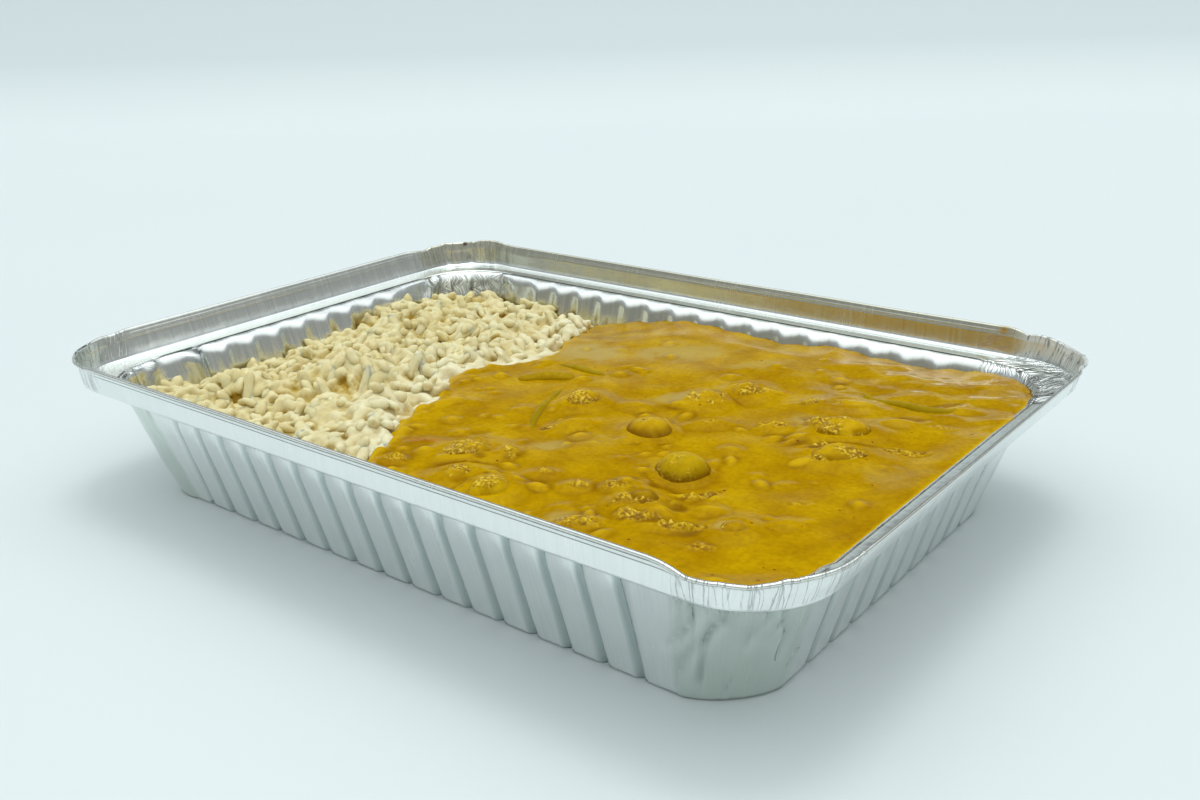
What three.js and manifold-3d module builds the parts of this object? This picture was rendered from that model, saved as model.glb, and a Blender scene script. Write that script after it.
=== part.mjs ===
// A takeaway meal in an oblong foil tray: rice in one end, chickpea curry in the rest.
// Millimetres, +Z up, origin at the centre of the underside of the tray, X along the long side.

import * as THREE from 'three';
import { mergeVertices } from 'three/addons/utils/BufferGeometryUtils.js';
import Module from 'manifold-3d';

const wasm = await Module();
wasm.setup();

// ---- driving dimensions ---------------------------------------------------------------------

const FOIL = 0.6;            // wall of the tray
const GAP = 0.3;             // clearance between neighbouring pieces
const TRAY_HEIGHT = 38.1;    // floor to the top of the lip
const FLANGE_HEIGHT = 31.0;  // floor to the underside of the flange
const SHOULDER_HEIGHT = 29.0;
const FOOT_HEIGHT = 1.6;     // top of the small radius round the base

const LIP = { x: 107.5, y: 74.9, corner: 20 };         // half sizes and corner radius in plan
const FOLD = { x: 104.7, y: 73.9, corner: 18 };        // where the flange turns up into the lip
const FLANGE_INSIDE = { x: 98.4, y: 67.4, corner: 18 };
const WALL_TOP = { x: 96.0, y: 65.0, corner: 15.5 };
const WALL_FOOT = { x: 88.1, y: 57.6, corner: 13.5 };
const BASE = { x: 87.1, y: 56.6, corner: 12.5 };

const LONG_PANELS = 15;      // scalloped panels on a long side
const SHORT_PANELS = 8;
const LONG_PITCH = 8.9;
const SHORT_PITCH = 8.9;
const PANEL_EDGE = 0.22;     // share of the pitch that each side of a groove takes
const CORNER_STEPS = 6;
const GROOVE = { base: 0.8, foot: 1.5, top: 1.9 };     // depth of the grooves between panels
const PLEAT = 0.4;           // how far the crimped corners of the rim go in and out

const CURRY_LEVEL = 28.4;
const RICE_LEVEL = 24.0;
const CURRY_STEP = 6.0;      // grid of each surface
const RICE_STEP = 6.5;
const CURRY_LEFT = -50;      // how far each surface is laid before it is cut to the shoreline
const RICE_RIGHT = 5;
const SURFACE_HALF_WIDTH = 70;

const GRAIN = { length: 7.4, width: 2.5, height: 2.2 };
const GRAIN_TILT = 0.35;     // radians from level, at most
const GRAIN_SINK = 0.2;      // share of its height that a grain's middle stands above the heap
const GRAIN_COUNT = 75;
const GRAIN_SEED = 20;
const GRAIN_ATTEMPTS = 24;   // places tried for each grain

// The line in plan where the curry laps against the rice, from the back wall to the front wall.
const SHORELINE = [
  [-44, 70], [-36, 52], [-28, 36], [-20.5, 21], [-24, 8], [-29.5, -6],
  [-19, -26], [-16.5, -38], [-8, -52], [-1, -70],
];

const SHORELINE_STEPS = 26;

// The line never runs flatter than 50 degrees to X, so this shift to each side leaves a full gap.
const SHORELINE_SHIFT = 0.6 * GAP;

// A chickpea's width and height, and the swell of its beak, as shares of its radius.
const CHICKPEA = { width: 0.94, height: 0.92, beak: 0.12 };

// Chickpeas that break the surface: x, y, radius, height above the sauce.
const CHICKPEAS = [
  [35.4, -13.0, 6.4, 3.6], [54.0, -27.3, 5.6, 4.5], [27.5, -55.6, 4.8, 3.0], [17.2, -54.0, 4.2, 2.2],
  [12.0, -6.8, 4.8, 3.1], [55.9, -43.2, 4.7, 2.3], [39.9, 20.2, 4.5, 2.7], [76.4, -43.4, 3.6, 1.5],
  [35.2, 10.0, 4.8, 2.6],
];

const CHUNK_HEIGHT = 0.8;    // share of its width
const CHUNK_WEAR = 0.07;     // share of its size by which a chunk is worn in and out

// Chunks of potato: x, y, half length, half width, height above the sauce, turn in degrees.
const CHUNKS = [
  [10.2, -43.6, 7.6, 5.6, 2.6, 39], [71.2, 9.0, 6.8, 5.2, 3.1, 42], [76.4, -3.4, 6.6, 4.4, 2.7, 35],
  [63.2, 25.4, 4.8, 3.4, 1.6, 40],
];

const STRIP_HALF_HEIGHT = 1.6;
const STRIP_TIP = 0.55;      // share of its width left at its ends
const STRIP_STEP = 4;        // length of each segment
const STRIP_SIDES = 5;

// Strips of onion and pepper that lie in the sauce: what it is, half width, height above the sauce,
// and the line that it follows.
const STRIPS = [
  ['onion_strip_1', 1.2, 0.8, [[12.4, -26.5], [8.4, -20.5], [5.0, -14], [2.6, -7], [1.2, -1]]],
  ['onion_strip_2', 1.3, 0.8, [[60.6, 37.6], [66.2, 33.4], [74, 32.8], [81.4, 31.8], [85, 35], [84, 41]]],
  ['onion_strip_3', 1.2, 0.7, [[-12.6, 13.2], [-6.4, 12.6], [-0.7, 11.6], [4.4, 11.8]]],
  ['pepper_strip_1', 2.6, 1.4, [[-13.4, -1.6], [-10.2, 2.8], [-5.6, 4.8], [-1.0, 4.8]]],
];

// Lumps that the sauce covers: x, y, half length, half width, height, turn in degrees.
const COVERED_LUMPS = [
  [23.3, -1.6, 6, 5, 1.1, 39], [18.4, -19.0, 8, 6, 1.4, 60], [44.2, -1.8, 8, 5, 1.2, 40],
  [56.6, 4.0, 6, 5, 1.0, 35], [56.2, -12.4, 4.5, 4, 0.9, 0], [40.0, -44.6, 5, 4, 1.0, 20],
  [47.4, -40.8, 5, 4, 1.0, 45], [30.8, -43.2, 5, 4, 0.8, 30], [51.4, -56.2, 6, 4, 1.0, 20],
  [68.2, -38.8, 5, 4, 1.0, 20], [83.4, -36.8, 5, 4, 0.8, 30], [77.4, 21.6, 6, 4, 1.0, 30],
  [-2.4, -45.8, 7, 5, 1.0, 50], [-0.4, -56.0, 5, 4, 1.0, 10], [66.0, -50.0, 8, 3, 0.8, 28],
];

// ---- helpers ----------------------------------------------------------------------------------

function randomSource(seed) {
  let state = seed;
  return function next() {
    state = (state + 0x6d2b79f5) | 0;
    let mixed = Math.imul(state ^ (state >>> 15), 1 | state);
    mixed = (mixed + Math.imul(mixed ^ (mixed >>> 7), 61 | mixed)) ^ mixed;
    return ((mixed ^ (mixed >>> 14)) >>> 0) / 4294967296;
  };
}

function geometryOf(vertices, faces) {
  const geometry = new THREE.BufferGeometry();
  geometry.setAttribute('position', new THREE.Float32BufferAttribute(vertices.flat(), 3));
  geometry.setIndex(faces.flat());
  return geometry;
}

function solidOf(geometry) {
  const bare = geometry.clone();
  bare.deleteAttribute('normal');
  bare.deleteAttribute('uv');
  const merged = mergeVertices(bare, 1e-4);
  return new wasm.Manifold(new wasm.Mesh({
    numProp: 3,
    vertProperties: new Float32Array(merged.getAttribute('position').array),
    triVerts: new Uint32Array(merged.getIndex().array),
  }));
}

function geometryFrom(solid) {
  const mesh = solid.getMesh();
  const geometry = new THREE.BufferGeometry();
  geometry.setAttribute('position', new THREE.BufferAttribute(mesh.vertProperties, 3));
  geometry.setIndex(new THREE.BufferAttribute(mesh.triVerts, 1));
  return geometry;
}

// Joins rings of equal length one after another, and closes the first and the last with a fan.
function loft(rings) {
  const count = rings[0].length;
  const vertices = rings.flat();
  const faces = [];
  for (let ring = 0; ring + 1 < rings.length; ring++) {
    for (let i = 0; i < count; i++) {
      const a = ring * count + i;
      const b = ring * count + (i + 1) % count;
      faces.push([a, b, b + count], [a, b + count, a + count]);
    }
  }
  const last = (rings.length - 1) * count;
  const firstHub = vertices.length;
  vertices.push(middleOf(rings[0]), middleOf(rings[rings.length - 1]));
  for (let i = 0; i < count; i++) {
    const next = (i + 1) % count;
    faces.push([firstHub, next, i], [firstHub + 1, last + i, last + next]);
  }
  return geometryOf(vertices, faces);
}

function middleOf(ring) {
  const sum = [0, 0, 0];
  for (const point of ring) {
    for (let axis = 0; axis < 3; axis++) {
      sum[axis] += point[axis] / ring.length;
    }
  }
  return sum;
}

// ---- the tray -----------------------------------------------------------------------------------

// Places along one side: the distance from its middle, and 1 in a groove or 0 on a panel.
function sideStations(panels, pitch) {
  const end = panels * pitch / 2;
  const edge = PANEL_EDGE * pitch;
  const stations = [[-end - edge, 0]];
  for (let panel = 0; panel < panels; panel++) {
    const groove = -end + panel * pitch;
    stations.push([groove, 1], [groove + edge, 0], [groove + pitch - edge, 0]);
  }
  stations.push([end, 1], [end + edge, 0]);
  return stations;
}

const FRONT_STATIONS = sideStations(LONG_PANELS, LONG_PITCH);
const END_STATIONS = sideStations(SHORT_PANELS, SHORT_PITCH);

// One level of the tray seen from above, anticlockwise from the front left.
function trayRing(shape, z, groove = 0, pleat = 0) {
  const ring = [];
  for (let side = 0; side < 4; side++) {
    const long = side % 2 === 0;
    const outward = -Math.PI / 2 + side * Math.PI / 2;
    const normal = [Math.cos(outward), Math.sin(outward)];
    const along = [-normal[1], normal[0]];
    const reach = long ? shape.y : shape.x;
    const halfLength = long ? shape.x : shape.y;
    for (const [distance, inGroove] of long ? FRONT_STATIONS : END_STATIONS) {
      const out = reach - groove * inGroove;
      ring.push([normal[0] * out + along[0] * distance, normal[1] * out + along[1] * distance, z]);
    }
    const middleOut = reach - shape.corner;
    const middleAlong = halfLength - shape.corner;
    for (let step = 0; step <= CORNER_STEPS; step++) {
      const angle = step / CORNER_STEPS * Math.PI / 2;
      const isFolded = step > 0 && step < CORNER_STEPS;
      const radius = shape.corner + (isFolded ? pleat * (-1) ** step : 0);
      const out = middleOut + radius * Math.cos(angle);
      const across = middleAlong + radius * Math.sin(angle);
      ring.push([normal[0] * out + along[0] * across, normal[1] * out + along[1] * across, z]);
    }
  }
  return ring;
}

function inset(shape, distance) {
  return { x: shape.x - distance, y: shape.y - distance, corner: shape.corner - distance };
}

function trayGeometry() {
  return loft([
    trayRing(BASE, 0, GROOVE.base),
    trayRing(WALL_FOOT, FOOT_HEIGHT, GROOVE.foot),
    trayRing(WALL_TOP, SHOULDER_HEIGHT, GROOVE.top),
    trayRing(FLANGE_INSIDE, FLANGE_HEIGHT),
    trayRing(FOLD, FLANGE_HEIGHT, 0, PLEAT),
    trayRing(LIP, TRAY_HEIGHT, 0, PLEAT),
    trayRing(inset(LIP, FOIL), TRAY_HEIGHT, 0, PLEAT),
    trayRing(inset(FOLD, FOIL), FLANGE_HEIGHT + FOIL, 0, PLEAT),
    trayRing(FLANGE_INSIDE, FLANGE_HEIGHT + FOIL),
    trayRing(inset(WALL_TOP, FOIL), SHOULDER_HEIGHT + FOIL / 2, GROOVE.top),
    trayRing(inset(WALL_FOOT, FOIL), FOOT_HEIGHT + FOIL / 2, GROOVE.foot),
    trayRing(inset(BASE, FOIL / 2), FOIL, GROOVE.base),
  ]);
}

// The space that the food fills, a gap clear of the tray. It runs on above the shoulder.
function cavitySolid() {
  const room = FOIL + GAP;
  return solidOf(loft([
    trayRing(inset(BASE, room), room, GROOVE.base),
    trayRing(inset(WALL_TOP, room), SHOULDER_HEIGHT, GROOVE.top),
    trayRing(inset(WALL_TOP, room), TRAY_HEIGHT, GROOVE.top),
  ]));
}

// ---- the surfaces of the food -----------------------------------------------------------------

// A rounded hill over an oval: 1 at its middle, 0 at its edge.
function ovalHill(x, y, [centreX, centreY, halfLength, halfWidth, , turn]) {
  const angle = THREE.MathUtils.degToRad(turn);
  const along = (x - centreX) * Math.cos(angle) + (y - centreY) * Math.sin(angle);
  const across = (y - centreY) * Math.cos(angle) - (x - centreX) * Math.sin(angle);
  const reach = Math.min(1, Math.hypot(along / halfLength, across / halfWidth));
  return 0.5 + 0.5 * Math.cos(Math.PI * reach);
}

// The curry stands level but for slow swells and covered lumps. It is a little higher at the far
// end, and falls away behind, where it thins out towards the rice.
function curryHeight(x, y) {
  const { smoothstep } = THREE.MathUtils;
  const swell = 0.35 * Math.sin(x / 9 + 0.6) * Math.cos(y / 11 - 0.4) + 0.2 * Math.sin((x + y) / 5.5);
  const thin = smoothstep(-x, -6, 38) * smoothstep(y, 15, 60);
  const lumps = Math.max(...COVERED_LUMPS.map((lump) => lump[4] * ovalHill(x, y, lump)));
  return CURRY_LEVEL + 0.007 * x + swell + lumps - 5.0 * thin;
}

// The rice is lowest along the left and back walls, and rises in clumps towards the curry.
function riceHeight(x, y) {
  const { smoothstep } = THREE.MathUtils;
  const rise = 3.0 * smoothstep(x, -90, -25) * (1 - 0.5 * smoothstep(y, 20, 60));
  const mound = 1.6 * Math.exp(-(((x + 50) / 30) ** 2) - ((y / 45) ** 2));
  const clumps = 1.1 * Math.sin(x / 5.2 + 1.1) * Math.sin(y / 6.1) + 0.8 * Math.sin((x - y) / 8.3);
  return RICE_LEVEL + rise + mound + clumps;
}

// A block with a wavy top, from below the tray's floor up to the given height over each point.
function blockUnder(height, step, x0, x1) {
  const across = Math.round((x1 - x0) / step);
  const back = Math.round(2 * SURFACE_HALF_WIDTH / step);
  const vertices = [];
  for (const isTop of [true, false]) {
    for (let row = 0; row <= back; row++) {
      for (let column = 0; column <= across; column++) {
        const x = x0 + (x1 - x0) * column / across;
        const y = SURFACE_HALF_WIDTH * (2 * row / back - 1);
        vertices.push([x, y, isTop ? height(x, y) : -step]);
      }
    }
  }
  const width = across + 1;
  const under = width * (back + 1);
  const faces = [];
  for (let row = 0; row < back; row++) {
    for (let column = 0; column < across; column++) {
      const a = row * width + column;
      const c = a + width;
      faces.push([a, a + 1, c + 1], [a, c + 1, c]);
      faces.push([a + under, c + 1 + under, a + 1 + under], [a + under, c + under, c + 1 + under]);
    }
  }
  const rim = [];
  for (let column = 0; column < across; column++) {
    rim.push(column);
  }
  for (let row = 0; row < back; row++) {
    rim.push(row * width + across);
  }
  for (let column = across; column > 0; column--) {
    rim.push(back * width + column);
  }
  for (let row = back; row > 0; row--) {
    rim.push(row * width);
  }
  rim.forEach((a, i) => {
    const b = rim[(i + 1) % rim.length];
    faces.push([a, a + under, b + under], [a, b + under, b]);
  });
  return solidOf(geometryOf(vertices, faces));
}

const shoreline = new THREE.CatmullRomCurve3(
  SHORELINE.map(([x, y]) => new THREE.Vector3(x, y, 0)), false, 'centripetal');

// All that lies between the shoreline and the given x, clear of the other side.
function regionSolid(end) {
  const shift = Math.sign(end) * SHORELINE_SHIFT;
  const points = shoreline.getPoints(SHORELINE_STEPS).map(({ x, y }) => new THREE.Vector2(x + shift, y));
  points.push(new THREE.Vector2(end, SHORELINE.at(-1)[1]), new THREE.Vector2(end, SHORELINE[0][1]));
  const extent = { depth: TRAY_HEIGHT, bevelEnabled: false };
  return solidOf(new THREE.ExtrudeGeometry(new THREE.Shape(points), extent));
}

function shorelineX(y) {
  const points = shoreline.getPoints(200);
  return points.reduce((best, point) => (Math.abs(point.y - y) < Math.abs(best.y - y) ? point : best)).x;
}

// ---- the pieces in the curry --------------------------------------------------------------------

const UP = new THREE.Vector3(0, 0, 1);

// A chickpea is a ball a little longer than wide, with a blunt beak at one end.
function chickpeaGeometry([x, y, radius, proud], grow = 0) {
  const geometry = new THREE.SphereGeometry(1, 8, 6);
  const place = geometry.getAttribute('position');
  const turn = (x * 0.7 + y) % Math.PI;
  const size = radius + grow;
  const centre = curryHeight(x, y) + proud - radius * CHICKPEA.height;
  for (let i = 0; i < place.count; i++) {
    const side = new THREE.Vector3().fromBufferAttribute(place, i);
    const beak = CHICKPEA.beak * Math.max(0, side.x) ** 3;
    const share = new THREE.Vector3(1 + beak, CHICKPEA.width, CHICKPEA.height);
    const local = side.multiply(share).multiplyScalar(size).applyAxisAngle(UP, turn);
    place.setXYZ(i, x + local.x, y + local.y, centre + local.z);
  }
  return geometry;
}

// A boiled chunk: a rounded lump with a few worn flats and hollows.
function chunkGeometry([x, y, halfLength, halfWidth, proud, turn], grow = 0) {
  const geometry = new THREE.IcosahedronGeometry(1, 1);
  const place = geometry.getAttribute('position');
  const halfHeight = halfWidth * CHUNK_HEIGHT;
  const centre = curryHeight(x, y) + proud - halfHeight;
  const angle = THREE.MathUtils.degToRad(turn);
  for (let i = 0; i < place.count; i++) {
    const side = new THREE.Vector3().fromBufferAttribute(place, i);
    const worn = 1 + CHUNK_WEAR * Math.sin(side.x * 5 + x) * Math.cos(side.y * 4 + side.z * 3 + y);
    const reach = new THREE.Vector3(halfLength * worn, halfWidth * worn, halfHeight).addScalar(grow);
    const local = side.multiply(reach).applyAxisAngle(UP, angle);
    place.setXYZ(i, x + local.x, y + local.y, centre + local.z);
  }
  return geometry;
}

// A strip is a flat oval section carried along its line, thinner towards both ends.
function stripGeometry([, halfWidth, proud, line], grow = 0) {
  const curve = new THREE.CatmullRomCurve3(line.map(([x, y]) => new THREE.Vector3(x, y, 0)));
  const steps = Math.max(5, Math.round(curve.getLength() / STRIP_STEP));
  const rings = [];
  for (let step = 0; step <= steps; step++) {
    const along = step / steps;
    const point = curve.getPoint(along);
    const tangent = curve.getTangent(along);
    const end = grow * (Number(step === steps) - Number(step === 0));
    const slim = STRIP_TIP + (1 - STRIP_TIP) * Math.sin(Math.PI * along);
    const middle = curryHeight(point.x, point.y) + proud - STRIP_HALF_HEIGHT;
    const ring = [];
    for (let side = 0; side < STRIP_SIDES; side++) {
      const angle = (side + 0.5) / STRIP_SIDES * 2 * Math.PI;
      const out = Math.cos(angle) * (halfWidth * slim + grow);
      const up = Math.sin(angle) * (STRIP_HALF_HEIGHT * slim + grow);
      ring.push([
        point.x + tangent.x * end - tangent.y * out,
        point.y + tangent.y * end + tangent.x * out,
        middle + up,
      ]);
    }
    rings.push(ring);
  }
  return loft(rings);
}

const TOPPINGS = [
  ...CHICKPEAS.map((row, i) => [`chickpea_${i + 1}`, (grow) => chickpeaGeometry(row, grow)]),
  ...CHUNKS.map((row, i) => [`potato_chunk_${i + 1}`, (grow) => chunkGeometry(row, grow)]),
  ...STRIPS.map((row) => [row[0], (grow) => stripGeometry(row, grow)]),
];

// ---- rice and curry -----------------------------------------------------------------------------

function grainSolid(x, y, random) {
  const geometry = new THREE.SphereGeometry(1, 5, 3);
  const long = GRAIN.length * (0.85 + 0.3 * random());
  geometry.rotateZ(Math.PI / 2);
  geometry.scale(long / 2, GRAIN.width / 2, GRAIN.height / 2);
  geometry.rotateY((random() * 2 - 1) * GRAIN_TILT);
  geometry.rotateZ(random() * Math.PI);
  geometry.translate(x, y, riceHeight(x, y) + GRAIN.height * GRAIN_SINK);
  return solidOf(geometry);
}

// A place on the rice where a whole grain stays clear of the walls, the corners and the curry.
function placeOnRice(random) {
  const margin = GRAIN.length / 2 + 1;
  for (;;) {
    const y = (random() * 2 - 1) * (WALL_TOP.y - GROOVE.top - margin);
    const left = -WALL_TOP.x + GROOVE.top + margin;
    const x = left + (shorelineX(y) - margin - left) * random();
    const intoCornerX = Math.max(0, WALL_TOP.corner - WALL_TOP.x - x);
    const intoCornerY = Math.max(0, WALL_TOP.corner - WALL_TOP.y + Math.abs(y));
    if (Math.hypot(intoCornerX, intoCornerY) < WALL_TOP.corner - margin - FOIL) {
      return [x, y];
    }
  }
}

// Spreads the grains evenly: each takes the place that lies furthest from all before it.
function grainPlaces(random) {
  const placed = [];
  const clearance = ([x, y]) => Math.min(...placed.map(([px, py]) => Math.hypot(px - x, py - y)), LIP.x);
  while (placed.length < GRAIN_COUNT) {
    const tried = Array.from({ length: GRAIN_ATTEMPTS }, () => placeOnRice(random));
    placed.push(tried.reduce((best, place) => (clearance(place) > clearance(best) ? place : best)));
  }
  return placed;
}

function riceSolid(cavity) {
  const random = randomSource(GRAIN_SEED);
  let heap = blockUnder(riceHeight, RICE_STEP, -LIP.x, RICE_RIGHT);
  heap = heap.intersect(cavity).intersect(regionSolid(-LIP.x));
  for (const [x, y] of grainPlaces(random)) {
    heap = heap.add(grainSolid(x, y, random));
  }
  return heap;
}

function currySolid(cavity) {
  let curry = blockUnder(curryHeight, CURRY_STEP, CURRY_LEFT, LIP.x);
  curry = curry.intersect(cavity).intersect(regionSolid(LIP.x));
  for (const [, build] of TOPPINGS) {
    curry = curry.subtract(solidOf(build(GAP)));
  }
  return curry;
}

// ---- the meal -----------------------------------------------------------------------------------

const foil = new THREE.MeshStandardMaterial({ color: 0xc9d0d2, roughness: 0.32, metalness: 0.95 });
const rice = new THREE.MeshStandardMaterial({ color: 0xe4d9b4, roughness: 0.6, metalness: 0 });
const sauce = new THREE.MeshStandardMaterial({ color: 0xc08f12, roughness: 0.35, metalness: 0 });
const chickpea = new THREE.MeshStandardMaterial({ color: 0xc79a1c, roughness: 0.4, metalness: 0 });
const potato = new THREE.MeshStandardMaterial({ color: 0xcaa024, roughness: 0.45, metalness: 0 });
const onion = new THREE.MeshStandardMaterial({ color: 0xb8962a, roughness: 0.35, metalness: 0 });
const pepper = new THREE.MeshStandardMaterial({ color: 0xb8641a, roughness: 0.4, metalness: 0 });
const TOPPING_MATERIALS = { chickpea, potato, onion, pepper };

const meal = new THREE.Group();

function addPiece(name, geometry, material) {
  const mesh = new THREE.Mesh(geometry, material);
  mesh.name = name;
  meal.add(mesh);
}

const cavity = cavitySolid();
addPiece('foil_tray', trayGeometry(), foil);
addPiece('rice', geometryFrom(riceSolid(cavity)), rice);
addPiece('curry', geometryFrom(currySolid(cavity)), sauce);
for (const [name, build] of TOPPINGS) {
  addPiece(name, geometryFrom(solidOf(build(0))), TOPPING_MATERIALS[name.split('_')[0]]);
}

export default meal;
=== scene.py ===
import math

import bpy
import numpy as np
from mathutils import Matrix, Vector
from mathutils.kdtree import KDTree


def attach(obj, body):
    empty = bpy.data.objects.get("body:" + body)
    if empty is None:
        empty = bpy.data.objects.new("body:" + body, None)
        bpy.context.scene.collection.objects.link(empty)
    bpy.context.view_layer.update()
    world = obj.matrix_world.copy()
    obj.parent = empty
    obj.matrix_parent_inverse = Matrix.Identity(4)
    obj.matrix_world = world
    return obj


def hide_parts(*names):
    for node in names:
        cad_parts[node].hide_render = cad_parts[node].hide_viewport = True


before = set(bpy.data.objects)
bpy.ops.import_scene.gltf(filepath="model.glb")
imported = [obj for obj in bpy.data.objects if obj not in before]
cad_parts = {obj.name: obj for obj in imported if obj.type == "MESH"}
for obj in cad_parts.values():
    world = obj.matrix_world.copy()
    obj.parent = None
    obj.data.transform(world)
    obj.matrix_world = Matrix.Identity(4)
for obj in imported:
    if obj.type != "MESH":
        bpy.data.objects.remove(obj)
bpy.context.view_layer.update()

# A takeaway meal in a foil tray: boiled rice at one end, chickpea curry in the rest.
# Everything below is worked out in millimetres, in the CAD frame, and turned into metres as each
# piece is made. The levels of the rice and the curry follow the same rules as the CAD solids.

MM = 0.001

# ---- dimensions of the tray -----------------------------------------------------------------------

FOIL = 0.15                  # thickness of the foil as shown
TRAY_HEIGHT = 38.1
FLANGE_HEIGHT = 31.0
SHOULDER_HEIGHT = 30.3       # where the wall starts to turn out into the flange
SHOULDER_SLOPE = 0.5         # rise of the sloping band between the wall and the flange
FOOT_HEIGHT = 1.6            # of the bend between the base and the wall

# Half sizes and corner radius in plan
LIP = (106.9, 74.3, 19.7)
FOLD = (104.3, 73.3, 17.6)
FLANGE_INSIDE = (98.4, 67.4, 18.0)
WALL_TOP = (97.2, 66.2, 16.8)
WALL_FOOT = (88.1, 57.6, 13.5)
BASE = (87.1, 56.6, 12.5)

# Panels between the grooves of each side, anticlockwise from the front: count, pitch, middle of the run
RUNS = [(15, 8.93, -1.6), (8, 8.87, 0.9), (15, 8.85, -1.8), (8, 8.85, 3.4)]
HALF_PITCH = 4.43            # from a groove to the middle of a panel
GROOVE_DEPTH = 1.5
GROOVE_HALF_WIDTH = 1.4
FOOT_GROOVE_DEPTH = 0.8      # under the edge of the base, where a groove starts
FOOT_GROOVE_HALF_WIDTH = 1.5
CORNER_STRAIGHT = 14.0       # from a side's last groove to the bend of the corner
CORNER_BEND = 15.0           # length of the bend for each radian

# Points across a panel as shares of it, then numbers of points and rows
PANEL_SHARES = (0, 0.04, 0.08, 0.12, 0.165, 0.24, 0.5, 0.76, 0.835, 0.88, 0.92, 0.96)
END_STEPS = 9                # between the last panel and a corner
CORNER_STEPS = 64            # round a corner
WALL_ROWS = 15
BASE_RINGS = (0.5, 0.93)     # sizes of the rings inside the base, as shares of it

SHOULDER = (0.2, 0.55, 0.9)  # rows across the shoulder, as shares of its width
# Across the flange: share of the way to the lip, rise. A sharp step inside, a faint line further out
FLANGE = [
    (0.0, -0.28), (0.02, -0.24), (0.04, -0.02), (0.08, 0.0), (0.3, 0.03), (0.5, 0.02), (0.6, 0.0),
    (0.64, -0.05), (0.68, -0.05), (0.72, 0.0), (0.84, 0.03), (0.90, 0.11), (0.95, 0.28), (0.98, 0.5),
]
FLANGE_LINE = (0.0, 0.02, 0.04)      # rows of the flange marked by a thin line of painted shadow under its step
# Up the lip: share of the way out on the long sides, the same on the short sides, height.
# On the long sides it stands steep up to a thin crease, then leans further out
LIP_PROFILE = [
    (0, 0, 31.8), (0.04, 0.06, 32.1), (0.13, 0.2, 32.8), (0.24, 0.37, 33.7), (0.34, 0.54, 34.9),
    (0.40, 0.65, 35.65), (0.41, 0.66, 35.8), (0.42, 0.68, 35.95), (0.44, 0.7, 36.1), (0.47, 0.72, 36.25),
    (0.60, 0.78, 36.65), (0.65, 0.8, 36.8), (0.70, 0.82, 36.95), (0.80, 0.87, 37.25), (0.90, 0.91, 37.55),
]
NOTCHES = {35.95: 0.08, 36.8: 0.08}  # depth of the thin rolled lines at these heights, each also marked by a painted shadow
BEAD = 0.32                          # radius of the rolled edge
BEAD_HEIGHT = TRAY_HEIGHT - BEAD
BEAD_TURNS = (165, 110, 55, 0, -50)  # degrees round the rolled edge, from the inside over the top

# ---- places of the food ---------------------------------------------------------------------------

CURRY_LEVEL = 28.4
RICE_LEVEL = 24.0
SHORELINE = [
    (-44, 70), (-36, 52), (-28, 36), (-20.5, 21), (-24, 8), (-29.5, -6),
    (-19, -26), (-16.5, -38), (-8, -52), (-1, -70),
]

# x, y, radius, height above the sauce
CHICKPEAS = [
    (35.4, -13.0, 6.4, 3.6), (54.0, -27.3, 5.6, 4.5), (27.5, -55.6, 4.8, 3.0), (17.2, -54.0, 4.2, 2.2),
    (12.0, -6.8, 4.8, 3.1), (55.9, -43.2, 4.7, 2.3), (39.9, 20.2, 4.5, 2.7), (76.4, -43.4, 3.6, 1.5),
    (35.2, 10.0, 4.8, 2.6),
]
BARE_CHICKPEAS = 2           # the first ones stand clear of the sauce, the others are coated with it
SQUARE_CHICKPEA = 2          # the number of the one that is nearly square from above
# Roughness, strength of the painted shade at the foot, olive tint, and the heights over which that painted
# shade fades
COATED_LOOK = (0.8, 0.4, 0.0, (0.4, 2.7))
OTHER_LOOKS = {
    1: (0.35, 0.95, 0.0, (0.8, 3.6)),
    2: (0.35, 0.95, 0.5, (0.4, 2.7)),
    6: (0.3, 0.85, 0.25, (1.4, 4.0)),
}
CHICKPEA_WIDTH = 0.94        # share of its length
CHICKPEA_HEIGHT = 0.92
CHICKPEA_BEAK = 0.12         # how far the pointed end stands out, as a share of the radius
CHICKPEA_RELIEF = 0.04       # unevenness of the skin and depth of the cleft, as shares of the radius

# x, y, half length, half width, height above the sauce, turn in degrees
CHUNKS = [
    (10.2, -43.6, 7.6, 5.6, 2.6, 39), (71.2, 9.0, 6.8, 5.2, 3.1, 42), (76.4, -3.4, 6.6, 4.4, 2.7, 35),
    (63.2, 25.4, 4.8, 3.4, 1.6, 40),
]
CHUNK_SHADE = [0.5, 0.5, 0.7, 0.3]   # strength of the painted shade at the foot of each chunk
CHUNK_HEIGHT = 0.8                   # share of its width

# name, half width, height above the sauce, line
STRIPS = [
    ("onion_strip_1", 1.2, 0.8, [(12.4, -26.5), (8.4, -20.5), (5.0, -14), (2.6, -7), (1.2, -1)]),
    ("onion_strip_2", 1.3, 0.8, [(60.6, 37.6), (66.2, 33.4), (74, 32.8), (81.4, 31.8), (85, 35), (84, 41)]),
    ("onion_strip_3", 1.2, 0.7, [(-12.6, 13.2), (-6.4, 12.6), (-0.7, 11.6), (4.4, 11.8)]),
    ("pepper_strip_1", 2.6, 1.4, [(-13.4, -1.6), (-10.2, 2.8), (-5.6, 4.8), (-1.0, 4.8)]),
]
STRIP_HALF_HEIGHT = 1.6
STRIP_SIDES = 16
STRIP_STEPS = 12             # between two points of its line

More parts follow.
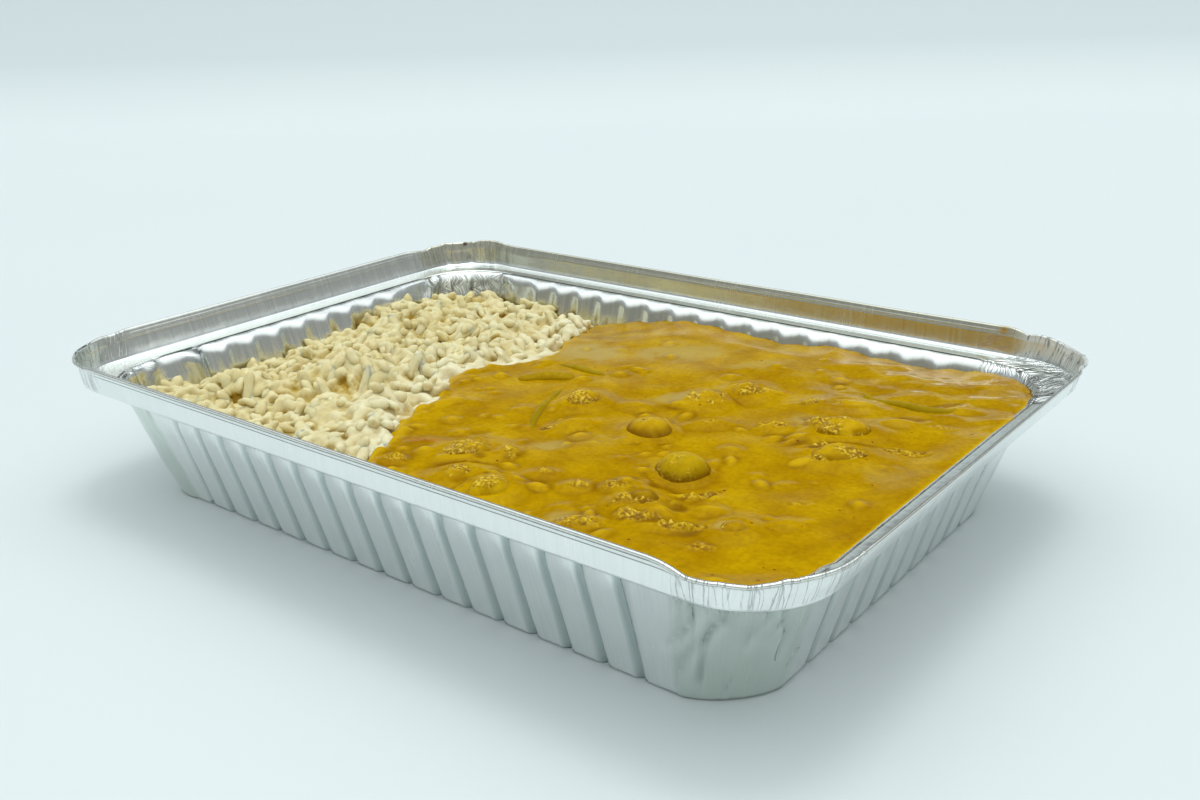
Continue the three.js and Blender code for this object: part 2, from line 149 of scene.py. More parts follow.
# Lumps that the sauce covers: x, y, half length, half width, height, turn in degrees
COVERED_LUMPS = [
    (23.3, -1.6, 6, 5, 1.1, 39), (18.4, -19.0, 8, 6, 1.4, 60), (44.2, -1.8, 8, 5, 1.2, 40),
    (56.6, 4.0, 6, 5, 1.0, 35), (56.2, -12.4, 4.5, 4, 0.9, 0), (40.0, -44.6, 5, 4, 1.0, 20),
    (47.4, -40.8, 5, 4, 1.0, 45), (30.8, -43.2, 5, 4, 0.8, 30), (51.4, -56.2, 6, 4, 1.0, 20),
    (68.2, -38.8, 5, 4, 1.0, 20), (83.4, -36.8, 5, 4, 0.8, 30), (77.4, 21.6, 6, 4, 1.0, 30),
    (-2.4, -45.8, 7, 5, 1.0, 50), (-0.4, -56.0, 5, 4, 1.0, 10), (66.0, -50.0, 8, 3, 0.8, 28),
]

# ---- numbers --------------------------------------------------------------------------------------

NOISE_ROWS = 128
NOISE_COLUMNS = 1024


def smoothstep(x, low, high):
    t = np.clip((x - low) / (high - low), 0, 1)
    return t * t * (3 - 2 * t)


def noise(x, y, seed, period=NOISE_COLUMNS):
    """Smooth random values between -1 and 1 over a lattice of unit cells, repeated along x."""
    table = np.random.default_rng(seed).random((NOISE_ROWS, NOISE_COLUMNS)) * 2 - 1
    column, row = np.floor(x).astype(int), np.floor(y).astype(int)
    u, v = x - column, y - row
    u, v = u * u * (3 - 2 * u), v * v * (3 - 2 * v)
    left, right = column % period, (column + 1) % period
    low, high = row % NOISE_ROWS, (row + 1) % NOISE_ROWS
    near = table[low, left] * (1 - u) + table[low, right] * u
    far = table[high, left] * (1 - u) + table[high, right] * u
    return near * (1 - v) + far * v


def fractal(x, y, seed, octaves=3):
    """Noise at a few scales, each half as strong as the one before."""
    total = np.zeros(np.broadcast(x, y).shape)
    for octave in range(octaves):
        scale = 2.0 ** octave
        total += noise(x * scale, y * scale, seed + octave) / scale
    return total


def ridged(x, y, seed):
    """Sharp ridges: 1 along them, falling away to 0."""
    return 1 - np.minimum(1, 2 * np.abs(noise(x, y, seed)))


def noise_around(points, scale, seed):
    """Noise over a solid's surface, from its three side views."""
    x, y, z = (points * scale).T
    return (noise(x, y + 7.3, seed) + noise(y, z + 3.1, seed + 1) + noise(z, x + 5.7, seed + 2)) / 1.7


def between(a, b, t):
    return tuple(p + (q - p) * t for p, q in zip(a, b))


def read_off(line, at):
    """The value at a place of a line through (place, value) points."""
    return np.interp(at, *np.array(line).T)


def averaged(values):
    """A grid of values, each averaged with its neighbours along both axes."""
    for axis in (0, 1):
        values = (np.roll(values, 1, axis) + values + np.roll(values, -1, axis)) / 3
    return values


# ---- meshes and materials -------------------------------------------------------------------------


def mesh_object(name, points, faces, material):
    mesh = bpy.data.meshes.new(name)
    mesh.from_pydata((np.asarray(points) * MM).tolist(), [], faces)
    mesh.update()
    mesh.shade_smooth()
    mesh.materials.append(material)
    piece = bpy.data.objects.new(name, mesh)
    bpy.context.scene.collection.objects.link(piece)
    return piece


def add_attributes(piece, marks):
    """Gives each point of the piece a value for every mark, which its material reads."""
    for name, values in marks.items():
        attribute = piece.data.attributes.new(name, "FLOAT", "POINT")
        attribute.data.foreach_set("value", np.ascontiguousarray(values, np.float32).reshape(-1))


def grid_faces(rows, columns, first=0, wrap=False):
    """Quads over a grid of points, row by row. wrap joins the last column to the first."""
    row = np.arange(rows - 1)[:, None]
    column = np.arange(columns if wrap else columns - 1)[None, :]
    a = first + row * columns + column
    b = first + row * columns + (column + 1) % columns
    return np.stack([a, b, b + columns, a + columns], -1).reshape(-1, 4)


def fan(hub, first, count, turned_over=False):
    """Triangles from a hub to a ring of points."""
    step = np.arange(count)
    ends = (first + step, first + (step + 1) % count)
    return np.stack([np.full(count, hub), *(ends if turned_over else ends[::-1])], -1)


def tube_faces(rings, sides, turned_over=False):
    """Quads round a tube, ring by ring, and triangles to the two end points that follow its rings."""
    quads = grid_faces(rings, sides, wrap=True)
    end = rings * sides
    caps = [fan(end, 0, sides, not turned_over), fan(end + 1, end - sides, sides, turned_over)]
    return (quads if turned_over else quads[:, ::-1]), np.concatenate(caps)


def face_list(*parts):
    return [face for part in parts for face in part.tolist()]


class Nodes:
    """A node tree, and short calls that each add a node. Inputs are values or other nodes' sockets."""

    def __init__(self, tree):
        self.tree = tree

    def set(self, socket, value):
        if isinstance(value, bpy.types.NodeSocket):
            self.tree.links.new(value, socket)
        else:
            socket.default_value = value

    def node(self, kind, inputs=None, **settings):
        node = self.tree.nodes.new("ShaderNode" + kind)
        for key, value in settings.items():
            setattr(node, key, value)
        for socket, value in (inputs or {}).items():
            self.set(node.inputs[socket], value)
        return node

    def math(self, operation, *values):
        return self.node("Math", dict(enumerate(values)), operation=operation).outputs[0]

    def times(self, a, b):
        return self.math("MULTIPLY", a, b)

    def times_plus(self, a, b, c):
        return self.math("MULTIPLY_ADD", a, b, c)

    def off_middle(self, value):
        """How far a noise lies from its middle value."""
        return self.math("ABSOLUTE", self.math("SUBTRACT", value, 0.5))

    def vector_math(self, operation, *values):
        return self.node("VectorMath", dict(enumerate(values)), operation=operation).outputs

    def fit(self, value, from_low, from_high, to_low=0.0, to_high=1.0, **settings):
        """Maps a range of values to another, and holds the values beyond it."""
        ends = {"From Min": from_low, "From Max": from_high, "To Min": to_low, "To Max": to_high}
        return self.node("MapRange", {"Value": value, **ends}, **settings).outputs["Result"]

    def ramp(self, factor, stops):
        """A colour ramp from (position, colour) stops."""
        node = self.node("ValToRGB", {"Fac": factor})
        elements = node.color_ramp.elements
        while len(elements) < len(stops):
            elements.new(0.5)
        for element, (position, colour) in zip(elements, stops):
            element.position = position
            element.color = (*colour, 1)
        return node.outputs["Color"]

    def mix(self, factor, a, b, blend="MIX"):
        """Mixes two colours, each a socket or a colour."""
        a, b = (value if isinstance(value, bpy.types.NodeSocket) else (*value, 1) for value in (a, b))
        return self.node("Mix", {0: factor, 6: a, 7: b}, data_type="RGBA", blend_type=blend).outputs[2]


class Shading(Nodes):
    """A new material with a Principled shader."""

    def __init__(self, name, **values):
        self.material = bpy.data.materials.new(name)
        self.material.use_nodes = True
        super().__init__(self.material.node_tree)
        self.shader = self.tree.nodes["Principled BSDF"]
        for socket, value in values.items():
            self.shader.inputs[socket.replace("_", " ")].default_value = value

    def use(self, socket, value):
        self.set(self.shader.inputs[socket], value)

    def place(self):
        return self.node("TexCoord").outputs["Object"]

    def attribute(self, label):
        return self.node("Attribute", attribute_name=label).outputs["Fac"]

    def vector(self, x, y):
        return self.node("CombineXYZ", {"X": x, "Y": y}).outputs["Vector"]

    def noise(self, vector, scale, detail=3.0):
        return self.node("TexNoise", {"Vector": vector, "Scale": scale, "Detail": detail}).outputs["Fac"]

    def cells(self, vector, scale):
        return self.node("TexVoronoi", {"Vector": vector, "Scale": scale}).outputs

    def bump(self, height, strength, distance, below=None):
        inputs = {"Height": height, "Strength": strength, "Distance": distance}
        if below:
            inputs["Normal"] = below
        return self.node("Bump", inputs).outputs["Normal"]


# ---- the tray: its grid of points -----------------------------------------------------------------


def tray_stations():
    """One column for each point of a ring: side, place along it, stretch towards the corner, angle."""
    rows = []
    steps = np.arange(1, END_STEPS) / END_STEPS
    for side, (panels, pitch, middle) in enumerate(RUNS):
        first = middle - panels * pitch / 2
        last = first + panels * pitch
        rows += [(side, first, share - 1, 0) for share in steps]
        places = [panel + share for panel in range(panels) for share in PANEL_SHARES]
        rows += [(side, first + place * pitch, 0, 0) for place in places]
        rows += [(side, last, share, 0) for share in (0, *steps)]
        rows += [(side, last, 1, angle) for angle in np.linspace(0, math.pi / 2, CORNER_STEPS + 1)]
    side, along, stretch, angle = np.array(rows).T
    return side.astype(int), along, stretch, angle


SIDE, ALONG, STRETCH, ANGLE = tray_stations()
IS_LONG = SIDE % 2 == 0
INSIDE_SHOWS = (SIDE == 2) | (SIDE == 3)               # sides whose grooves widen to waves from low down
NORMAL = np.stack([np.sin(SIDE * math.pi / 2), -np.cos(SIDE * math.pi / 2)], -1)
TANGENT = np.stack([-NORMAL[:, 1], NORMAL[:, 0]], -1)
OUTWARD = NORMAL * np.cos(ANGLE)[:, None] + TANGENT * np.sin(ANGLE)[:, None]
OUTWARD_3D = np.concatenate([OUTWARD, np.zeros((len(SIDE), 1))], -1)
CORNER = (SIDE + np.where(STRETCH < 0, 3, 0)) % 4      # 0 near, 1 far right, 2 far left, 3 left
IN_CORNER = smoothstep(np.abs(STRETCH), 0.7, 1)


def ring(shape):
    """One level of the tray in plan."""
    half_x, half_y, corner = shape
    reach = np.where(IS_LONG, half_y, half_x)
    straight = np.where(IS_LONG, half_x, half_y) - corner
    across = ALONG + STRETCH * (straight - np.abs(ALONG)) + corner * np.sin(ANGLE)
    out = reach - corner * (1 - np.cos(ANGLE))
    return NORMAL * out[:, None] + TANGENT * across[:, None]


def lengths_around():
    """Length along the top of the wall, the same from the start of the nearest corner, and the whole."""
    top = ring(WALL_TOP)
    around = np.cumsum(np.hypot(*np.diff(top, axis=0, prepend=top[:1]).T))
    total = around[-1] + np.hypot(*(top[0] - top[-1]))
    starts = np.array([around[(SIDE == side) & (STRETCH == 1)][0] for side in range(4)])
    arc = around - starts[CORNER]
    return around, np.where(arc < -total / 2, arc + total, arc), total


def from_groove():
    """Distance of each column from the middle of the nearest groove."""
    panels, pitch, middle = np.array(RUNS)[SIDE].T
    place = ALONG - middle + panels * pitch / 2
    nearest = np.abs((place + pitch / 2) % pitch - pitch / 2)
    return nearest + np.abs(STRETCH) * CORNER_STRAIGHT + ANGLE * CORNER_BEND


AROUND, ARC, PERIMETER = lengths_around()
FROM_GROOVE = from_groove()


def tray_levels():
    """From the middle of the base out and up: shape in plan, height, groove depth, groove half width."""
    levels = [(tuple(size * share for size in BASE), 0, 0, GROOVE_HALF_WIDTH) for share in BASE_RINGS]
    for t in (0, 0.5, 1):
        turn = t * math.pi / 2
        depth = FOOT_GROOVE_DEPTH + (GROOVE_DEPTH - FOOT_GROOVE_DEPTH) * t
        height = FOOT_HEIGHT * (1 - math.cos(turn))
        levels.append((between(BASE, WALL_FOOT, math.sin(turn)), height, depth, FOOT_GROOVE_HALF_WIDTH))
    for t in np.linspace(0, 1, WALL_ROWS)[1:]:
        height = FOOT_HEIGHT + (SHOULDER_HEIGHT - FOOT_HEIGHT) * t
        levels.append((between(WALL_FOOT, WALL_TOP, t), height, GROOVE_DEPTH, GROOVE_HALF_WIDTH))
    for t in SHOULDER:
        shape = between(WALL_TOP, FLANGE_INSIDE, t)
        height = SHOULDER_HEIGHT + SHOULDER_SLOPE * (shape[0] - WALL_TOP[0])
        levels.append((shape, height, GROOVE_DEPTH * (1 - t), GROOVE_HALF_WIDTH))
    for t, rise in FLANGE:
        levels.append((between(FLANGE_INSIDE, FOLD, t), FLANGE_HEIGHT + rise, 0, GROOVE_HALF_WIDTH))
    for long_side, short_side, height in LIP_PROFILE:
        out_x, out_y = between(FOLD, LIP, short_side), between(FOLD, LIP, long_side)
        levels.append(((out_x[0], out_y[1], (out_x[2] + out_y[2]) / 2), height, 0, GROOVE_HALF_WIDTH))
    for turn in np.radians(BEAD_TURNS):
        reach = BEAD * (0.7 + math.cos(turn))
        shape = tuple(size + reach for size in LIP)
        levels.append((shape, BEAD_HEIGHT + BEAD * math.sin(turn), 0, GROOVE_HALF_WIDTH))
    return levels


# One row for each level: its shape, half length, height, groove depth and groove half width
LEVELS = tray_levels()
REACHES, HEIGHTS, DEPTHS, WIDTHS = (
    column[:, None] for column in np.array([(shape[0], *rest) for shape, *rest in LEVELS]).T)
ROWS = np.arange(len(LEVELS))[:, None]
SHOULDER_ROW = int(np.argmax(HEIGHTS[:, 0] >= SHOULDER_HEIGHT))
IS_WALL = ROWS <= SHOULDER_ROW
UP_LIP = np.clip((HEIGHTS - FLANGE_HEIGHT) / (BEAD_HEIGHT - FLANGE_HEIGHT), 0, 1) * (REACHES >= FOLD[0])
IS_FLANGE = (ROWS > SHOULDER_ROW) & (UP_LIP < 0.05)

# ---- the tray: folds, dents and marks -------------------------------------------------------------

# Creases in the wall: corner, width, depth, and points at a length from the corner's start and a height
CREASES = [
    (0, 0.5, 0.5, [(1.8, 26), (1.6, 23.5), (2.0, 21.5), (1.6, 19.5), (0.4, 18.5)]),
    (0, 0.7, 0.55, [(8.2, 22), (6.3, 20), (5.1, 17), (4.7, 13.5), (4.3, 9.5), (3.9, 4.5)]),
    (0, 0.5, 0.35, [(10.2, 2.5), (11.4, 5.5)]),
    (0, 1.0, 0.35, [(-3.5, 13.5), (-1.0, 15.5), (1.2, 18)]),
    (0, 1.1, 0.3, [(0, 8), (1.6, 13), (5.5, 17)]),
    (0, 0.7, 0.4, [(20.0, 20.5), (22.4, 16.5), (22.0, 14), (21.6, 11.5)]),
    (0, 0.9, 0.3, [(26.6, 7.5), (28.1, 10)]),
    (0, 1.2, 0.25, [(-1.5, 4), (-1.5, 9.5)]),
    (0, 0.9, 0.25, [(13.4, 15.5), (14.1, 17.5)]),
    (0, 0.8, 0.45, [(16.5, 29), (17.3, 25.5), (16.8, 22)]),
    (2, 0.7, -0.9, [(24.6, 30), (30, 28.5), (36, 27)]),
    (2, 0.7, -0.9, [(25, 30), (28.1, 28), (31.6, 23), (32.5, 18)]),
    (2, 0.6, -0.7, [(1.2, 30), (-1.5, 28), (-4.5, 24)]),
    (2, 0.8, 0.8, [(11.8, 29), (13.0, 25), (13.4, 18)]),
    (2, 0.7, 0.6, [(19.5, 29), (18.8, 24), (18.4, 18)]),
    (3, 1.5, 0.9, [(-9.4, 31), (-11.2, 29), (-12.2, 26), (-12.6, 18)]),
    (3, 1.2, 0.5, [(1.0, 30), (3.5, 26), (5.5, 20)]),
    (3, 0.8, 0.5, [(9.0, 30), (8.0, 26), (9.5, 20)]),
]
CREASE_SPREAD = 1.3          # width and depth of a crease's fold, against its shaded line
BESIDE_CREASE = 1.7          # where the bulge beside a crease is highest, in widths

# How far the top of the lip stands off its level in each corner, by angle in degrees
LIP_DROP = [
    [(-14, 0), (-9, -0.25), (-4, -0.8), (0, -1.25), (15, -1.15), (30, -1.1), (38, -0.6), (45, -0.15),
     (90, 0)],
    [(-10, 0), (0, 0.2), (20, -0.4), (39, -1.1), (58, -0.9), (74, -0.4), (84, -0.5), (90, -0.9), (100, 0)],
    [(-10, 0), (0, 0.2), (9, 0.9), (13, 1.2), (26, 1.1), (31, 0.4), (42, 0.3), (60, 0.5), (66, 0.1),
     (86, -0.6), (100, 0)],
    [(-10, 0), (5, -0.2), (25, -0.4), (45, -0.3), (70, -0.6), (90, -0.5), (100, 0)],
]
DEGREES_PER_STRETCH = 50     # the angle goes on past the corner's ends at this rate

# For each corner: near, far right, far left, left
BULGE_FOOT = np.array([-1.6, 0.0, 0.0, 2.0])           # outward shift of the wall at the foot
BULGE_TOP = np.array([-0.2, 0.0, 0.0, 1.6])            # the same at the top
FACETS = np.array([0.28, 0.3, 0.4, 0.35])              # depth of the lip's broad facets
PLEATS = np.array([0.1, 0.12, 0.05, 0.05])             # depth of its narrow ones
CREASED = np.array([0.5, 0.6, 0.5, 0.15])              # strength of the folds on the wall
WRINKLED = np.array([0.2, 1.0, 0.04, 0.15])            # strength of the folds on the flange
PLEATED = np.array([0.55, 0.9, 0.5, 0.5])              # strength of the upright lines on the lip: painted shade and bumps
UPRIGHT = np.array([0.0, 0.9, 0.5, 0.5])               # how far the top of the lip is bent in
MATTE_LIP = np.array([0.0, 0.6, 0.15, 0.0])            # how matte the inside of the lip is

# For each side: front, right, back, left
FLANGE_TILT = np.array([0.0, 0.9, 0.0, 0.0])           # how far the flange falls toward the inside
GREASE_AND_SHADE_LIP = np.array([0.3, 0.3, 1.0, 0.4])            # layer of fat with painted shade on the inside of the lip
GREASE_AND_SHADE_WALL = np.array([0.0, 0.0, 1.0, 0.45])          # layer of fat with painted shade on the inside of the wall

# Sauce and brown marks left on the foil: x, y, z, radius
STAINS = [
    (80.6, 74.0, 37.3, 1.0), (80.2, 73.8, 36.0, 0.7), (79.0, 73.7, 35.2, 0.6), (77.4, 73.6, 34.6, 0.7),
    (75.6, 73.5, 34.0, 0.6), (81.6, 73.6, 34.4, 0.6), (80.8, 73.5, 32.8, 0.6), (76.6, 73.4, 32.8, 0.5),
    (93.4, 73.2, 37.9, 0.8), (93.0, 73.4, 36.8, 0.4), (88.6, 73.8, 37.4, 0.4),
]
BROWN_SPOTS = [(-99.5, 69.0, 38.0, 0.8), (-100.5, 68.5, 34.6, 0.7), (-98.2, 69.6, 34.2, 0.5)]


def crease(arc, height, line, width):
    """Signed distance of each point from a folded line on a corner's wall, in widths."""
    line = np.array(line, float)
    nearest = np.full(np.broadcast(arc, height).shape, 1e3)
    signed = nearest.copy()
    for start, end in zip(line[:-1], line[1:]):
        way = end - start
        length = np.hypot(*way)
        share = np.clip(((arc - start[0]) * way[0] + (height - start[1]) * way[1]) / length ** 2, 0, 1)
        off_arc, off_height = arc - start[0] - share * way[0], height - start[1] - share * way[1]
        away = np.hypot(off_arc, off_height)
        side = np.sign(off_arc * way[1] - off_height * way[0])
        signed = np.where(away < nearest, away * side, signed)
        nearest = np.minimum(away, nearest)
    return signed / width


def facets(average, seed):
    """Piecewise straight offsets round the tray, which turn a curved lip into flat vertical facets."""
    random = np.random.default_rng(seed)
    count = int(PERIMETER / average)
    places = np.sort(random.uniform(0, PERIMETER, count))
    return np.interp(AROUND, places, random.uniform(-1, 1, count), period=PERIMETER)


def grooved_points():
    """The outer skin with its grooves, which widen to waves toward the top of the wall."""
    wave = 0.5 + 0.5 * np.cos(math.pi * np.minimum(FROM_GROOVE / HALF_PITCH, 1))
    groove = np.cos(math.pi / 2 * np.minimum(FROM_GROOVE / WIDTHS, 1)) ** 2
    from_low, from_high = smoothstep(HEIGHTS, 6, 24), smoothstep(HEIGHTS, 22, SHOULDER_HEIGHT - 1)
    near_top = np.where(INSIDE_SHOWS, from_low, from_high)
    inward = DEPTHS * (groove * (1 - near_top) + wave * near_top)
    plan = np.stack([ring(shape) for shape, *_ in LEVELS]) - OUTWARD * inward[..., None]
    return np.concatenate([plan, (HEIGHTS - SHOULDER_SLOPE * inward * near_top)[..., None]], -1)


def along_rim(knots, seed):
    """Noise along the whole rim, with a number of knots that closes the circle."""
    return noise(AROUND / PERIMETER * knots, 0.5 + 0 * UP_LIP, seed, period=knots)


def outward_shift(broad, narrow):
    """How far each point of the skin moves out: facets, bulged corners, notches, folds, dents, creases."""
    # round the corners the lip breaks into facets and is bent in, and the wall bulges
    out = IN_CORNER * np.minimum(UP_LIP * 3, 1) * (FACETS[CORNER] * broad + PLEATS[CORNER] * narrow)
    out = out - IN_CORNER * UPRIGHT[CORNER] * UP_LIP
    share_up = np.clip(HEIGHTS / SHOULDER_HEIGHT, 0, 1)
    bulge = BULGE_FOOT[CORNER] * (1 - share_up) + BULGE_TOP[CORNER] * share_up
    out = out + bulge * np.sin(2 * ANGLE) * IS_WALL * smoothstep(-HEIGHTS, -SHOULDER_HEIGHT, -27)

    # the thin rolled lines fade out in the corners, where folds run from the flange down the wall
    for height, depth in NOTCHES.items():
        out = out - depth * (HEIGHTS == height) * (1 - IN_CORNER)
    upright_folds = 0.6 * facets(3.0, 25) + 0.25 * facets(1.4, 26)
    below_flange = smoothstep(HEIGHTS, 17, 28) * (1 - smoothstep(HEIGHTS, 29.5, FLANGE_HEIGHT - 0.3))
    out = out + CREASED[CORNER] * IN_CORNER * upright_folds * below_flange

    # long soft waves of the lip, then dents and creases in the wall
    out = out + 0.15 * UP_LIP * along_rim(20, 29)
    dents = (0.05 + 0.3 * IN_CORNER) * fractal(AROUND / PERIMETER * 64, HEIGHTS / 9.0, 31, 2)
    out = out + dents * smoothstep(HEIGHTS, 1, 6) * (1 - smoothstep(HEIGHTS, 24, 28)) * IS_WALL
    for number, width, depth, line in CREASES:
        away = crease(ARC, HEIGHTS, line, width * CREASE_SPREAD)
        fold = 0.7 * np.exp(-(away - BESIDE_CREASE) ** 2) - CREASE_SPREAD * np.exp(-away ** 2)
        out = out + depth * fold * (CORNER == number) * (ROWS <= SHOULDER_ROW + 3)
    return out


def upward_shift(narrow):
    """How far each point moves up: wrinkled and tilted flange, crushed and wavy top of the lip."""
    # the corners of the flange are wrinkled less toward the lip, and the flange tilts between them
    swing = 2.6 * noise(AROUND / 9.0, (REACHES - WALL_TOP[0]) / 4.0, 24)
    folds = ridged((AROUND + swing) / 1.5, REACHES / 12.0, 30)
    folds = folds + 0.8 * ridged((AROUND + swing) / 3.2, REACHES / 14.0, 25)
    strength = 0.22 - 0.2 * smoothstep(REACHES, 101, 104.7)
    lift = WRINKLED[CORNER] * IN_CORNER * (folds - 0.8) * IS_FLANGE * strength
    inner_share = np.clip((FOLD[0] - REACHES) / (FOLD[0] - FLANGE_INSIDE[0]), 0, 1) * (HEIGHTS > 27)
    lift = lift - FLANGE_TILT[SIDE] * inner_share * (1 - IN_CORNER)

    # the top of the lip is crushed in the corners, and rises and falls in long soft waves
    past_end = (STRETCH - np.sign(STRETCH)) * DEGREES_PER_STRETCH
    angle = np.degrees(ANGLE) + np.where(ANGLE == 0, past_end, 0)
    angle = np.where(STRETCH < 0, 90 + (STRETCH + 1) * DEGREES_PER_STRETCH, angle)
    drop = np.zeros(len(SIDE))
    for number, marks in enumerate(LIP_DROP):
        here = (CORNER == number) & (STRETCH != 0)
        drop[here] = read_off(marks, angle[here])
    lift = lift + UP_LIP ** 2 * (drop + 0.22 * IN_CORNER * narrow)
    return lift + 0.1 * UP_LIP * along_rim(24, 28)


def tray_points():
    """The outer skin of the tray, level by level, with its grooves, crimps, wrinkles and dents."""
    broad, narrow = facets(5.0, 21), facets(1.9, 22)
    points = grooved_points() + OUTWARD_3D * outward_shift(broad, narrow)[..., None]
    points[..., 2] += upward_shift(narrow)
    return points


def tray_mesh():
    """Points and faces of both skins of the foil: the outer one, the inner one, then two hubs."""
    outer = tray_points()
    around = np.roll(outer, -1, 1) - np.roll(outer, 1, 1)
    normal = np.cross(around, np.gradient(outer, axis=0))
    normal /= np.linalg.norm(normal, axis=-1, keepdims=True) + 1e-9
    inner = outer - normal * FOIL
    levels, count = outer.shape[:2]
    half = levels * count
    points = np.concatenate([outer.reshape(-1, 3), inner.reshape(-1, 3), [(0, 0, 0), (0, 0, FOIL)]])
    step = np.arange(count)
    following = (step + 1) % count
    top = half - count
    outside = grid_faces(levels, count, wrap=True)
    inside = grid_faces(levels, count, first=half, wrap=True)[:, ::-1]
    edge = np.stack([top + step, top + following, half + top + following, half + top + step], -1)
    under, floor = fan(2 * half, 0, count), fan(2 * half + 1, half, count, turned_over=True)
    return points, face_list(outside, inside, edge, under, floor)


def fold_shade():
    """Painted highlights (above 0) and painted shade (below 0) along the creases of the wall."""
    shade = np.zeros((len(LEVELS), len(SIDE)))
    for number, width, depth, line in CREASES:
        away = crease(ARC, HEIGHTS, line, width)
        strength = min(1, 1.6 * abs(depth)) * (CORNER == number)
        pair = np.exp(-away ** 2) - 0.8 * np.exp(-(away - BESIDE_CREASE) ** 2)
        shade = shade - np.sign(depth) * strength * pair
    return shade * (HEIGHTS < FLANGE_HEIGHT)


def tray_marks():
    """For each point of both skins: where it lies on the foil, how it is creased, and where shade, highlights
    and grease are painted on it.
    """
    profile = np.concatenate([REACHES, HEIGHTS], 1)
    up = np.concatenate([[0], np.cumsum(np.hypot(*np.diff(profile, axis=0).T))])
    crushed = CREASED[CORNER] * smoothstep(HEIGHTS, 20, 27) * (REACHES <= WALL_TOP[0])
    crushed = crushed + WRINKLED[CORNER] * (REACHES > WALL_TOP[0]) * (HEIGHTS < 31.3)
    crushed = crushed + PLEATS[CORNER] * 1.5 * (REACHES > FOLD[0])
    # groove: painted shade, a darker colour in the grooves where inter-reflections darken the foil
    groove = np.cos(math.pi / 2 * np.minimum(FROM_GROOVE / (WIDTHS + 0.2), 1)) * (DEPTHS > 0)
    line_heights = [FLANGE_HEIGHT + rise for share, rise in FLANGE if share in FLANGE_LINE]
    shade = fold_shade()
    on_lip = smoothstep(HEIGHTS, 31.9, 32.6) * (REACHES >= FOLD[0])
    below_shoulder = 1 - smoothstep(HEIGHTS, SHOULDER_HEIGHT - 1.6, SHOULDER_HEIGHT - 0.6)
    on_wall = smoothstep(HEIGHTS, 8, 14) * below_shoulder
    outer = {
        "around": AROUND,
        "up": up[:, None],
        "crushed": IN_CORNER * crushed,
        "groove": groove * (HEIGHTS < SHOULDER_HEIGHT - 1),
        # line: painted shadow in the thin rolled lines of the lip
        "line": np.isin(HEIGHTS, list(NOTCHES)) * (REACHES > FOLD[0]) * (1 - IN_CORNER),
        # painted shade on the outside of the crushed corners, where the foil reflects the shadow on the floor
        "shaded_corner": IN_CORNER * (HEIGHTS < FLANGE_HEIGHT - 1),
        # painted shade and painted highlights along the creases
        "dark_fold": np.clip(-shade, 0, 1),
        "light_fold": np.clip(shade, 0, 1),
        "grease_and_shade": 0,
        "matte": MATTE_LIP[CORNER] * IN_CORNER * on_lip,
        "pleated": PLEATED[CORNER] * IN_CORNER * smoothstep(HEIGHTS, 31.5, 32.5),
    }
    inner = {
        **outer,
        "groove": 0,
        "shaded_corner": 0,
        # a layer of grease with painted shade on the inside of the lip and wall
        "grease_and_shade": GREASE_AND_SHADE_LIP[SIDE] * on_lip + GREASE_AND_SHADE_WALL[SIDE] * on_wall,
        # line: painted shadow under the flange's step
        "line": np.isin(HEIGHTS, line_heights) * (REACHES < FLANGE_INSIDE[0] + 1) * (1 - IN_CORNER),
    }
    everywhere = np.ones((len(LEVELS), len(SIDE)))
    marks = {}
    for name in outer:
        skins = [(skin[name] * everywhere).reshape(-1) for skin in (outer, inner)]
        marks[name] = np.concatenate([*skins, [0, 0]])
    return marks


def near_marks(points, marks):
    """1 at each mark, falling off to 0 a little past its radius."""
    strength = np.zeros(len(points))
    for *place, radius in marks:
        away = np.linalg.norm(points - place, axis=1)
        strength = np.maximum(strength, 1 - smoothstep(away, 0.5 * radius, 1.4 * radius))
    return strength


STREAK_COLOURS = [(0.3, (0.82, 0.855, 0.835)), (0.5, (0.86, 0.89, 0.87)), (0.7, (0.90, 0.925, 0.905))]
# Marks that cover the foil's colour, with their strength: painted shade in the grooves, painted shadow in the
# thin lines, painted shade and painted highlights along the creases; and marks that tint it
FOIL_LINES = [
    ("groove", 0.8, (0.38, 0.47, 0.46)), ("line", 1.0, (0.07, 0.09, 0.09)),
    ("dark_fold", 0.4, (0.25, 0.32, 0.30)), ("light_fold", 0.8, (0.97, 0.99, 0.98)),
]
# Marks that tint it: a layer of grease with painted shade inside the tray, and painted shade on the outside
# of the corners
FOIL_TINTS = [("grease_and_shade", (0.72, 0.69, 0.58)), ("shaded_corner", (0.80, 0.84, 0.80))]
# Painted shade in the fine folds of the crushed corners and in the pleats of the lip, then the real sauce
# stains and brown spots
FOLD_SHADE_COLOUR = (0.10, 0.12, 0.12)
PLEAT_SHADE_COLOUR = (0.16, 0.19, 0.18)
STAIN_COLOUR = (0.40, 0.22, 0.012)
SPOT_COLOUR = (0.06, 0.035, 0.02)


